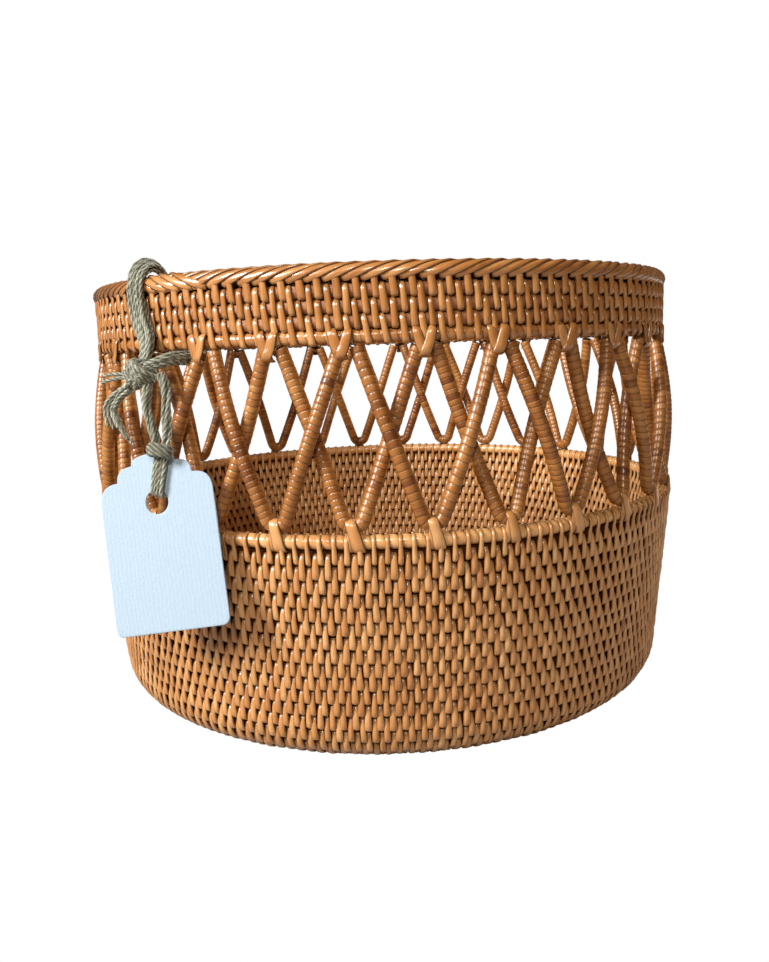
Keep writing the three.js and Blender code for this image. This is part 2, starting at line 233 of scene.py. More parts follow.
@dataclass
class Surface:
    """A mesh as arrays, with the values that its finish reads at each vertex."""

    points: Array
    polygons: list[Array]
    tone: Array
    tuck: Array
    grain: Array

    @classmethod
    def joined(cls, parts: list["Surface"]) -> "Surface":
        """One surface of several, in order."""
        starts = np.cumsum([0] + [len(part.points) for part in parts[:-1]])
        polygons = [face + start for part, start in zip(parts, starts) for face in part.polygons]
        columns = [np.concatenate([getattr(part, name) for part in parts]) for name in ("tone", "tuck", "grain")]
        return cls(np.concatenate([part.points for part in parts]), polygons, *columns)

    @classmethod
    def of_tubes(cls, points: Array, tone: Array, tuck: Array, grain: Array, closed: bool) -> "Surface":
        """Tubes whose sections lie on a grid.

        Args:
            points: (tubes, rings, sides, 3) places, with each section turning left-handed to the run of its tube.
            tone: colour value, broadcast over the grid.
            tuck: share of dirt and shade in the weave, broadcast over the grid.
            grain: (tubes, rings, sides, 3) lengths along and across the fibres, and a number of the strip.
            closed: whether the last ring of each tube joins the first.

        Returns:
            The surface, with a cap on each end of an open tube.
        """
        tubes, rings, sides = points.shape[:3]
        start = np.arange(tubes)[:, None, None] * rings * sides
        ring = np.arange(rings if closed else rings - 1)[None, :, None]
        side = np.arange(sides)[None, None, :]
        ahead, beside = (ring + 1) % rings, (side + 1) % sides
        corners = [ring * sides + side, ring * sides + beside, ahead * sides + beside, ahead * sides + side]
        polygons = [np.stack([start + corner for corner in corners], axis=-1).reshape(-1, 4)]
        if not closed:
            polygons.append(start[:, 0] + np.arange(sides)[::-1])
            polygons.append(start[:, 0] + (rings - 1) * sides + np.arange(sides))
        grid = points.shape[:3]
        spread = [np.broadcast_to(value, grid).reshape(-1) for value in (tone, tuck)]
        return cls(points.reshape(-1, 3), polygons, *spread, np.broadcast_to(grain, points.shape).reshape(-1, 3))


def sections(middle: Array, across: Array, facing: Array, size: Array, s: Array) -> Array:
    """Places round the sections of tubes.

    Args:
        middle: middle of each section.
        across: its first direction.
        facing: its second direction.
        size: distance from the middle, at each section or at each place round it.
        s: angles of the places round a section.

    Returns:
        middle + size * (cos s * across + sin s * facing), with the places round a section on the last axis but one.
    """
    return (middle[..., None, :] + (size * np.cos(s))[..., None] * across[..., None, :]
            + (size * np.sin(s))[..., None] * facing[..., None, :])


def fibre_grid(along: Array, across: Array, number: Array) -> Array:
    """Lengths along and across the fibres and a number of the strip, stacked on a last axis."""
    return np.stack(np.broadcast_arrays(along, across, number), axis=-1)


# Rounded back and flat belly of a strip, as (across, out) points that turn from right to left, and their shade
STRIP_SECTION = np.array([(1.0, 0.0), (0.74, 0.76), (0.0, 1.0), (-0.74, 0.76), (-1.0, 0.0), (0.0, -0.5)])
STRIP_SHADE = np.array([0.9, 0.12, 0.0, 0.12, 0.9, 1.0])


def strips(centre: Array, out: Array, half_width: Array, thickness: Array, tone: Array, tuck: Array) -> Surface:
    """Flat strips with a rounded back, laid side by side.

    The section is carried along each centre line: place = centre + across * half width * a + facing * thickness
    * b, where across is square to the run of the strip and to the direction out.

    Args:
        centre: (strips, rings, 3) places along the belly of each strip.
        out: direction that the backs face, broadcast like centre.
        half_width: half the width at each ring.
        thickness: thickness at each ring.
        tone: colour value of each strip, as (strips, 1).
        tuck: shade at each ring.

    Returns:
        The strips as one surface.
    """
    count, rings = centre.shape[:2]
    half_width, thickness, tuck = (np.broadcast_to(v, (count, rings)) for v in (half_width, thickness, tuck))
    run = unit(np.gradient(centre, axis=1))
    across = unit(np.cross(np.broadcast_to(out, centre.shape), run))
    facing = np.cross(run, across)
    wide = half_width[..., None] * STRIP_SECTION[:, 0]
    high = thickness[..., None] * STRIP_SECTION[:, 1]
    points = centre[:, :, None] + across[:, :, None] * wide[..., None] + facing[:, :, None] * high[..., None]
    steps = np.linalg.norm(np.diff(centre, axis=1), axis=2)
    along = np.concatenate([np.zeros((count, 1)), np.cumsum(steps, axis=1)], axis=1)
    grain = fibre_grid(along[..., None], wide, np.arange(count)[:, None, None])
    shade = np.maximum(tuck[..., None], STRIP_SHADE)
    return Surface.of_tubes(points, tone[..., None], shade, grain, closed=False)


@dataclass(frozen=True)
class Winding:
    """A strip wound closely round a rod: where the rings of each wrap lie and how far they stand off the rod."""

    pitch: float
    slant: float
    sides: int = 14
    phases: tuple[float, ...] = (0.0, 0.1, 0.3, 0.7, 0.93)
    lifts: tuple[float, ...] = (-0.17, 0.05, 0.05, 0.0, -0.05)
    uneven: float = 0.2
    uneven_lift: float = 0.06
    tones: ToneSpread = ToneSpread(middle=0.5, slow=0.5, each=0.35, wave=5)
    stained: float = 0.05
    stain_tone: float = -0.35
    # Painted shade along each seam between wraps, and a little at each wrap's far edge
    seam_tuck: float = 0.85
    end_tuck: float = 0.1

    def rings(self, wraps: int, rng: np.random.Generator) -> tuple[Array, Array, Array, Array]:
        """Rings of all the wraps in order.

        Args:
            wraps: number of wraps.
            rng: source of their unevenness.

        Returns:
            The place of each ring counted in wraps, its lift, its tone and its tuck.
        """
        edges = np.arange(wraps + 1) + jitter(wraps + 1, self.uneven, rng)
        edges[[0, -1]] = 0, wraps
        place = edges[:-1, None] + np.diff(edges)[:, None] * np.array(self.phases)
        lift = np.array(self.lifts) + jitter((wraps, 1), self.uneven_lift, rng)
        tone = self.tones.row(wraps, rng)
        stain = rng.random(wraps) < self.stained
        tone = tone[:, None] + self.stain_tone * stain[:, None] + np.zeros(len(self.phases))
        tuck = np.zeros_like(place)
        # Painted shade at each seam, darkest on a stained wrap
        tuck[:, 0] = np.where(stain, 1.0, self.seam_tuck)
        tuck[:, -1] = self.end_tuck
        return place.ravel(), lift.ravel(), tone.ravel(), tuck.ravel()


# Least and greatest colour value of a plain rod
ROD_TONES = (0.35, 0.65)


def ring_rods(radius: Array, height: Array, rise: Array, depth: float, tall: Array, sides: int,
              shade: tuple[float, int], rng: np.random.Generator) -> Surface:
    """Plain round rods bent to rings.

    A ring is the ellipse (depth * cos s, -tall * sin s), tipped up by the angle `rise` and carried round the axis.
    Its tuck is painted shade: least + (1 - least) * |sin s| ** power, darkest where it lies against its neighbours.

    Args:
        radius: middle radius of each ring, or of all.
        height: middle height of each ring.
        rise: angle above level of each ellipse's first axis, or of all.
        depth: half the rod's size along that axis.
        tall: half the rod's size square to it, of each ring or of all.
        sides: points round the rod.
        shade: least tuck, and the power.
        rng: source of the rods' colours.

    Returns:
        The rods as one surface.
    """
    radius, height, rise, tall = (np.reshape(value, (-1, 1, 1)) for value in (radius, height, rise, tall))
    s = full_turn(sides)
    angle = full_turn(ROD_STEPS)[None, :, None]
    reach, climb = depth * np.cos(s), -tall * np.sin(s)
    out = radius + reach * np.cos(rise) - climb * np.sin(rise)
    up = height + reach * np.sin(rise) + climb * np.cos(rise)
    points = around(angle, out, np.maximum(up, LEAST_HEIGHT))
    grain = fibre_grid(angle * radius, s * depth, np.arange(len(points))[:, None, None])
    tone = rng.uniform(*ROD_TONES, (len(points), 1, 1))
    least, power = shade
    return Surface.of_tubes(points, tone, least + (1 - least) * np.abs(np.sin(s)) ** power, grain, closed=True)


def wound_ring(radius: float, height: float, rod: float, winding: Winding, wraps: int,
               rng: np.random.Generator) -> Surface:
    """A hoop wound with strip: a ring of radius rod + lift whose seams lean to one side.

    Args:
        radius: middle radius of the hoop.
        height: middle height of the hoop.
        rod: radius of the wound rod.
        winding: the strip round it.
        wraps: number of wraps round the pot.
        rng: source of the wraps' unevenness.

    Returns:
        The hoop.
    """
    place, lift, tone, tuck = winding.rings(wraps, rng)
    s = full_turn(winding.sides)
    angle = (place[:, None] + winding.slant * np.sin(s)) * TURN / wraps
    size = (rod + lift)[:, None]
    points = around(angle, radius + size * np.cos(s), height - size * np.sin(s))
    grain = fibre_grid(rod * s, place[:, None] * winding.pitch, np.floor(place[:, None]))
    return Surface.of_tubes(points[None], tone[:, None], tuck[:, None], grain[None], closed=True)


# Finishes


class NodeTree:
    """Shorthand for placing and linking shader nodes."""

    def __init__(self, tree: bpy.types.NodeTree) -> None:
        """Keeps the tree that nodes are added to."""
        self.tree = tree

    def add(self, kind: str, settings: dict | None = None, **inputs: object) -> bpy.types.Node:
        """Adds a node.

        Args:
            kind: Blender's name of the node type.
            settings: properties of the node.
            inputs: value, or the output socket to link, for each input by name; _ stands for a space, and a
                name of the form In0 picks an input by its number.

        Returns:
            The node.
        """
        node = self.tree.nodes.new(kind)
        for name, value in (settings or {}).items():
            setattr(node, name, value)
        for name, value in inputs.items():
            socket = node.inputs[int(name[2:])] if name.startswith("In") else node.inputs[name.replace("_", " ")]
            if isinstance(value, bpy.types.NodeSocket):
                self.tree.links.new(value, socket)
            else:
                socket.default_value = value
        return node

    def math(self, operation: str, first: object, second: object = 0.0) -> bpy.types.NodeSocket:
        """Result of one sum on numbers or sockets."""
        return self.add("ShaderNodeMath", {"operation": operation}, In0=first, In1=second).outputs[0]

    def ramp(self, value: object, low: float, high: float) -> bpy.types.NodeSocket:
        """Smooth step from 0 at `low` to 1 at `high`."""
        settings = {"interpolation_type": "SMOOTHSTEP"}
        return self.add("ShaderNodeMapRange", settings, Value=value, From_Min=low, From_Max=high).outputs[0]

    def mix(self, share: object, first: object, second: object) -> bpy.types.NodeSocket:
        """Blend of two colours."""
        return self.add("ShaderNodeMix", {"data_type": "RGBA"}, In0=share, In6=first, In7=second).outputs[2]

    def noise(self, vector: object, stretch: tuple[float, float, float], detail: float) -> bpy.types.NodeSocket:
        """Cloudy pattern on a vector, with `stretch` as its number of clouds per unit of each axis."""
        scaled = self.add("ShaderNodeVectorMath", {"operation": "MULTIPLY"}, In0=vector, In1=stretch).outputs[0]
        return self.add("ShaderNodeTexNoise", Vector=scaled, Scale=1.0, Detail=detail).outputs[0]

    def attribute(self, name: str, vector: bool = False) -> bpy.types.NodeSocket:
        """Value that the mesh holds at each vertex."""
        node = self.add("ShaderNodeAttribute", {"attribute_name": name})
        return node.outputs["Vector" if vector else "Fac"]


def new_group(name: str, inputs: dict[str, str], outputs: dict[str, str]) -> tuple[NodeTree, dict, dict]:
    """Starts a shader node group.

    Args:
        name: name of the group.
        inputs: socket type of each input by name.
        outputs: socket type of each output by name.

    Returns:
        The tree to fill, the sockets that bring the inputs in and the sockets that take the outputs.
    """
    tree = bpy.data.node_groups.new(name, "ShaderNodeTree")
    for names, way in ((inputs, "INPUT"), (outputs, "OUTPUT")):
        for label, kind in names.items():
            tree.interface.new_socket(label, in_out=way, socket_type=kind)
    entry, leave = tree.nodes.new("NodeGroupInput"), tree.nodes.new("NodeGroupOutput")
    return NodeTree(tree), dict(entry.outputs.items()), dict(leave.inputs.items())


FLOAT, COLOUR, VECTOR = "NodeSocketFloat", "NodeSocketColor", "NodeSocketVector"
COAT_ROUGHNESS = 0.2
GRAIN_DEPTH = 0.0003
# Dark colour of dirt and of the painted shade in the weave
WEAVE_DIRT_AND_SHADE = (0.03, 0.0085, 0.002, 1.0)


def rattan_group() -> bpy.types.NodeTree:
    """Group for split rattan skin: colour by tone with fibres, blotches, dark flecks, and dirt and painted shade in
    the weave.
    """
    inputs = {"Tone": FLOAT, "Tuck": FLOAT, "Grain": VECTOR, "Pale": COLOUR, "Honey": COLOUR, "Russet": COLOUR,
              "Rough": FLOAT}
    nodes, have, give = new_group("rattan_skin", inputs, {"Color": COLOUR, "Roughness": FLOAT, "Height": FLOAT})
    fibre = nodes.noise(have["Grain"], (0.16, 3.4, 7.3), 2.0)
    blotch = nodes.noise(have["Grain"], (0.11, 0.35, 5.1), 1.0)
    fleck = nodes.noise(have["Grain"], (0.7, 1.9, 3.7), 1.0)
    uneven = nodes.math("ADD", nodes.math("MULTIPLY", fibre, 0.75), nodes.math("MULTIPLY", blotch, 0.8))
    tone = nodes.math("ADD", have["Tone"], nodes.math("SUBTRACT", uneven, 0.78))
    warm = nodes.mix(nodes.ramp(tone, -0.05, 0.5), have["Russet"], have["Honey"])
    colour = nodes.mix(nodes.ramp(tone, 0.45, 1.05), warm, have["Pale"])
    stain = nodes.math("MULTIPLY", nodes.ramp(fleck, 0.70, 0.80), 0.65)
    # Flecks are stains; the tuck paints shade in the weave; both darken towards one colour
    dark = nodes.math("MAXIMUM", stain, nodes.math("MULTIPLY", have["Tuck"], 0.85))
    colour = nodes.mix(dark, colour, WEAVE_DIRT_AND_SHADE)
    rough = nodes.math("ADD", have["Rough"], nodes.math("MULTIPLY", fibre, 0.22))
    height = nodes.math("ADD", fibre, nodes.math("MULTIPLY", blotch, 0.6))
    for name, socket in (("Color", colour), ("Roughness", rough), ("Height", height)):
        nodes.tree.links.new(socket, give[name])
    return nodes.tree


def cotton_group() -> bpy.types.NodeTree:
    """Group for loose-spun cotton: soft colour changes, fine hairs along the yarn and shade between the plies."""
    inputs = {"Tone": FLOAT, "Tuck": FLOAT, "Grain": VECTOR, "Light": COLOUR, "Deep": COLOUR}
    nodes, have, give = new_group("loose_cotton", inputs, {"Color": COLOUR, "Height": FLOAT})
    hairs = nodes.noise(have["Grain"], (1.1, 6.0, 3.1), 3.0)
    cloud = nodes.noise(have["Grain"], (0.18, 0.5, 2.3), 1.0)
    pale = nodes.math("ADD", nodes.math("MULTIPLY", hairs, 1.2), nodes.math("MULTIPLY", cloud, 0.5))
    level = nodes.math("ADD", nodes.math("SUBTRACT", pale, have["Tuck"]), have["Tone"])
    nodes.tree.links.new(nodes.mix(nodes.ramp(level, 0.35, 1.55), have["Deep"], have["Light"]), give["Color"])
    nodes.tree.links.new(hairs, give["Height"])
    return nodes.tree


def new_material(name: str) -> tuple[bpy.types.Material, NodeTree, bpy.types.Node]:
    """Empty material with its own shader.

    Args:
        name: name of the material.

    Returns:
        The material, its node tree and its Principled shader.
    """
    material = bpy.data.materials.new(name)
    material.use_nodes = True
    nodes = NodeTree(material.node_tree)
    return material, nodes, material.node_tree.nodes["Principled BSDF"]


def opaque(colour: Colour) -> tuple[float, float, float, float]:
    """The colour with full alpha."""
    return (*colour, 1.0)


@dataclass(frozen=True)
class Finish:
    """A look that pieces share."""

    name: str

    def material(self) -> bpy.types.Material:
        """The material, made when it is first asked for."""
        return bpy.data.materials.get(self.name) or self.new()

    def new(self) -> bpy.types.Material:
        """Makes the material; each kind of finish has its own way."""
        raise NotImplementedError


@dataclass(frozen=True)
class RattanFinish(Finish):
    """Rattan of three colours, with its least roughness, depth of grain, shine and coat of varnish."""

    pale: Colour
    honey: Colour
    russet: Colour
    rough: float
    bump: float
    shine: float
    coat: float = 0.0

    def new(self) -> bpy.types.Material:
        """Makes the material."""
        material, nodes, shader = new_material(self.name)
        group = bpy.data.node_groups.get("rattan_skin") or rattan_group()
        colours = {"Pale": opaque(self.pale), "Honey": opaque(self.honey), "Russet": opaque(self.russet)}
        skin = nodes.add("ShaderNodeGroup", {"node_tree": group}, Rough=self.rough, Tone=nodes.attribute("tone"),
                         Tuck=nodes.attribute("tuck"), Grain=nodes.attribute("grain", vector=True), **colours)
        bump = nodes.add("ShaderNodeBump", Strength=self.bump, Distance=GRAIN_DEPTH, Height=skin.outputs["Height"])
        nodes.tree.links.new(skin.outputs["Color"], shader.inputs["Base Color"])
        nodes.tree.links.new(skin.outputs["Roughness"], shader.inputs["Roughness"])
        nodes.tree.links.new(bump.outputs[0], shader.inputs["Normal"])
        shader.inputs["Specular IOR Level"].default_value = self.shine
        shader.inputs["Coat Weight"].default_value = self.coat
        shader.inputs["Coat Roughness"].default_value = COAT_ROUGHNESS
        return material


@dataclass(frozen=True)
class CottonFinish(Finish):
    """Dyed cotton yarn."""

    light: Colour
    deep: Colour

    def new(self) -> bpy.types.Material:
        """Makes the material."""
        material, nodes, shader = new_material(self.name)
        group = bpy.data.node_groups.get("loose_cotton") or cotton_group()
        yarn = nodes.add("ShaderNodeGroup", {"node_tree": group}, Tone=nodes.attribute("tone"),
                         Tuck=nodes.attribute("tuck"), Grain=nodes.attribute("grain", vector=True),
                         Light=opaque(self.light), Deep=opaque(self.deep))
        bump = nodes.add("ShaderNodeBump", Strength=0.7, Distance=0.0004, Height=yarn.outputs["Height"])
        nodes.tree.links.new(yarn.outputs["Color"], shader.inputs["Base Color"])
        nodes.tree.links.new(bump.outputs[0], shader.inputs["Normal"])
        shader.inputs["Roughness"].default_value = 0.95
        shader.inputs["Specular IOR Level"].default_value = 0.15
        shader.inputs["Sheen Weight"].default_value = 0.25
        return material


@dataclass(frozen=True)
class CardFinish(Finish):
    """White laid card: even ribs that run up the card and waver a little, with a soft tooth."""

    white: Colour
    shaded: Colour
    rib_spacing: float

    def new(self) -> bpy.types.Material:
        """Makes the material."""
        material, nodes, shader = new_material(self.name)
        grain = nodes.attribute("grain", vector=True)
        across = nodes.add("ShaderNodeSeparateXYZ", Vector=grain).outputs["X"]
        waver = nodes.noise(grain, (0.09, 0.16, 1.0), 2.0)
        turn = nodes.math("ADD", nodes.math("MULTIPLY", across, TURN / self.rib_spacing),
                          nodes.math("MULTIPLY", waver, 9.0))
        ribs = nodes.math("ADD", 0.5, nodes.math("MULTIPLY", nodes.math("SINE", turn), 0.5))
        tooth = nodes.noise(grain, (1.1, 1.3, 1.0), 3.0)
        height = nodes.math("ADD", nodes.math("MULTIPLY", ribs, 0.22), tooth)
        share = nodes.ramp(height, 0.2, 1.1)
        colour = nodes.mix(share, opaque(self.shaded), opaque(self.white))
        bump = nodes.add("ShaderNodeBump", Strength=0.4, Distance=GRAIN_DEPTH, Height=height)
        nodes.tree.links.new(colour, shader.inputs["Base Color"])
        nodes.tree.links.new(bump.outputs[0], shader.inputs["Normal"])
        shader.inputs["Roughness"].default_value = 0.85
        shader.inputs["Specular IOR Level"].default_value = 0.25
        return material


WALL_STRIP = RattanFinish("wall_strip", (0.74, 0.41, 0.172), (0.55, 0.245, 0.078), (0.33, 0.102, 0.029),
                          rough=0.22, bump=0.3, shine=0.5, coat=0.65)
# Paler, glossier copy of the wall rattan for the wrapped rim rod: the paler colour is painted light on the rim
RIM_STRIP_PAINTED_LIGHT = RattanFinish("rim_strip_painted_light", (0.84, 0.5, 0.225), (0.68, 0.35, 0.125), (0.4, 0.14, 0.045),
                         rough=0.2, bump=0.25, shine=0.5, coat=0.9)
# Rods and the border's core, seen only in gaps of the weave, are painted near-black as shade
PAINTED_SHADE_ROD = RattanFinish("painted_shade_rod", (0.16, 0.06, 0.018), (0.09, 0.029, 0.008), (0.04, 0.012, 0.003),
                        rough=0.8, bump=0.3, shine=0.04)
CANE_STRIP = RattanFinish("cane_strip", (0.47, 0.215, 0.061), (0.325, 0.123, 0.026), (0.155, 0.044, 0.009),
                          rough=0.24, bump=0.2, shine=0.5, coat=0.35)
BAND_STRIP = RattanFinish("band_strip", (0.64, 0.32, 0.115), (0.45, 0.182, 0.048), (0.25, 0.08, 0.021),
                          rough=0.18, bump=0.25, shine=0.5, coat=1.0)
BAND_ROD = RattanFinish("band_rod", (0.56, 0.26, 0.11), (0.4, 0.155, 0.06), (0.2, 0.065, 0.023),
                        rough=0.3, bump=0.3, shine=0.4)
COTTON = CottonFinish("sage_cotton", (0.87, 0.925, 0.79), (0.1, 0.095, 0.062))
CARD = CardFinish("laid_card", (0.405, 0.515, 0.635), (0.36, 0.465, 0.58), rib_spacing=1.7)


# Pieces


def write_mesh(name: str, surface: Surface) -> bpy.types.Mesh:
    """Puts a surface into a mesh, in metres, with its values as attributes.

    Args:
        name: name of the mesh.
        surface: what to write.

    Returns:
        The mesh.
    """
    mesh = bpy.data.meshes.new(name)
    corners = np.concatenate([face.ravel() for face in surface.polygons]).astype(np.int32)
    sizes = np.concatenate([np.full(len(face), face.shape[1]) for face in surface.polygons])
    starts = np.concatenate([[0], np.cumsum(sizes)[:-1]]).astype(np.int32)
    mesh.vertices.add(len(surface.points))
    mesh.vertices.foreach_set("co", (surface.points * MM).astype(np.float32).ravel())
    mesh.loops.add(len(corners))
    mesh.loops.foreach_set("vertex_index", corners)
    mesh.polygons.add(len(starts))
    mesh.polygons.foreach_set("loop_start", starts)
    mesh.polygons.foreach_set("use_smooth", np.ones(len(starts), bool))
    mesh.update(calc_edges=True)
    for label, kind, values in (("tone", "FLOAT", surface.tone), ("tuck", "FLOAT", surface.tuck),
                                ("grain", "FLOAT_VECTOR", surface.grain)):
        attribute = mesh.attributes.new(label, kind, "POINT")
        attribute.data.foreach_set("vector" if kind == "FLOAT_VECTOR" else "value",
                                   np.ascontiguousarray(values, np.float32).ravel())
    mesh.validate()
    return mesh


def add_piece(name: str, surface: Surface, finish: Finish, body: Body, slot: Slot,
              stands_for: tuple[str, ...] = ()) -> bpy.types.Object:
    """Adds one finished piece of the object.

    Args:
        name: name of the piece.
        surface: its shape.
        finish: its finish.
        body: the body that it moves with.
        slot: the record's slot of its material; not used.
        stands_for: the CAD nodes that it replaces.

    Returns:
        The piece.
    """
    piece = bpy.data.objects.new(name, write_mesh(name, surface))
    bpy.context.scene.collection.objects.link(piece)
    piece.data.materials.append(finish.material())
    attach(piece, body.value)
    if stands_for:
        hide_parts(*stands_for)
    log.info("%s: %d faces", name, len(piece.data.polygons))
    return piece


# Woven bowl


@dataclass(frozen=True)
class StitchShape:
    """One stitch from its blunt lower end (0) to its tucked upper end (1), in millimetres."""

    at: tuple[float, ...] = (0.0, 0.03, 0.09, 0.3, 0.55, 0.75, 0.86, 0.94, 1.0)
    half_width: tuple[float, ...] = (1.2, 1.52, 1.62, 1.5, 1.36, 1.25, 1.2, 1.12, 0.95)
    lift: tuple[float, ...] = (0.6, 1.95, 2.5, 2.6, 2.4, 1.9, 1.4, 0.85, 0.1)
    thickness: tuple[float, ...] = (0.6, 0.75, 0.85, 0.85, 0.85, 0.85, 0.8, 0.7, 0.5)
    # Painted shade towards both ends, where the stitch goes under its neighbours
    tuck: tuple[float, ...] = (0.85, 0.3, 0.0, 0.0, 0.0, 0.1, 0.3, 0.55, 0.9)


RIM_STITCH = StitchShape(at=(0.0, 0.03, 0.09, 0.28, 0.48, 0.6, 0.75, 0.88, 1.0),
                         half_width=(0.95, 1.2, 1.28, 1.22, 1.05, 0.95, 0.92, 0.9, 0.8),
                         lift=(0.8, 1.8, 2.3, 2.35, 2.3, 2.55, 2.8, 2.3, 0.6),
                         thickness=(0.6, 0.75, 0.85, 0.85, 0.8, 0.7, 0.7, 0.7, 0.5),
                         tuck=(0.75, 0.2, 0.0, 0.0, 0.0, 0.0, 0.0, 0.1, 0.4))
BAND_STITCH = StitchShape(half_width=(1.1, 1.45, 1.58, 1.52, 1.42, 1.4, 1.36, 1.25, 1.0),
                          lift=(0.9, 1.9, 2.4, 2.45, 2.3, 2.35, 2.05, 1.4, 0.4))
FLOOR_STITCH = StitchShape(at=(0.0, 0.06, 0.3, 0.7, 0.92, 1.0), half_width=(1.2, 1.5, 1.5, 1.4, 1.3, 1.1),
                           lift=(0.5, 2.1, 2.5, 2.2, 1.4, 0.1), thickness=(0.6, 0.8, 0.85, 0.85, 0.75, 0.5),
                           tuck=(0.85, 0.2, 0.0, 0.0, 0.1, 0.8))


@dataclass(frozen=True)
class Sewing:
    """How unevenly a row of stitches is set: millimetres, and shares of a stitch's own lift and width."""

    sideways: float
    lean: float
    slow_lean: float
    lean_wave: float
    lean_middle: float
    reach: float
    widths: tuple[float, float]
    each_lean: float = 0.7
    uneven_lift: float = 0.12

    def leans(self, count: int, rng: np.random.Generator) -> Array:
        """How far each stitch of a row leans over its height."""
        slow = drift(count, self.lean_wave, self.slow_lean, rng)[:, None]
        return self.lean + slow + jitter((count, 1), self.each_lean, rng)

    def lifts(self, shape: StitchShape, count: int, rng: np.random.Generator) -> Array:
        """How far each stitch of a row stands off the rods along its length."""
        return np.array(shape.lift) * (1 + jitter((count, 1), self.uneven_lift, rng))

    def half_widths(self, shape: StitchShape, count: int, rng: np.random.Generator) -> Array:
        """Half the width of each stitch of a row along its length."""
        return np.array(shape.half_width) * rng.uniform(*self.widths, (count, 1))


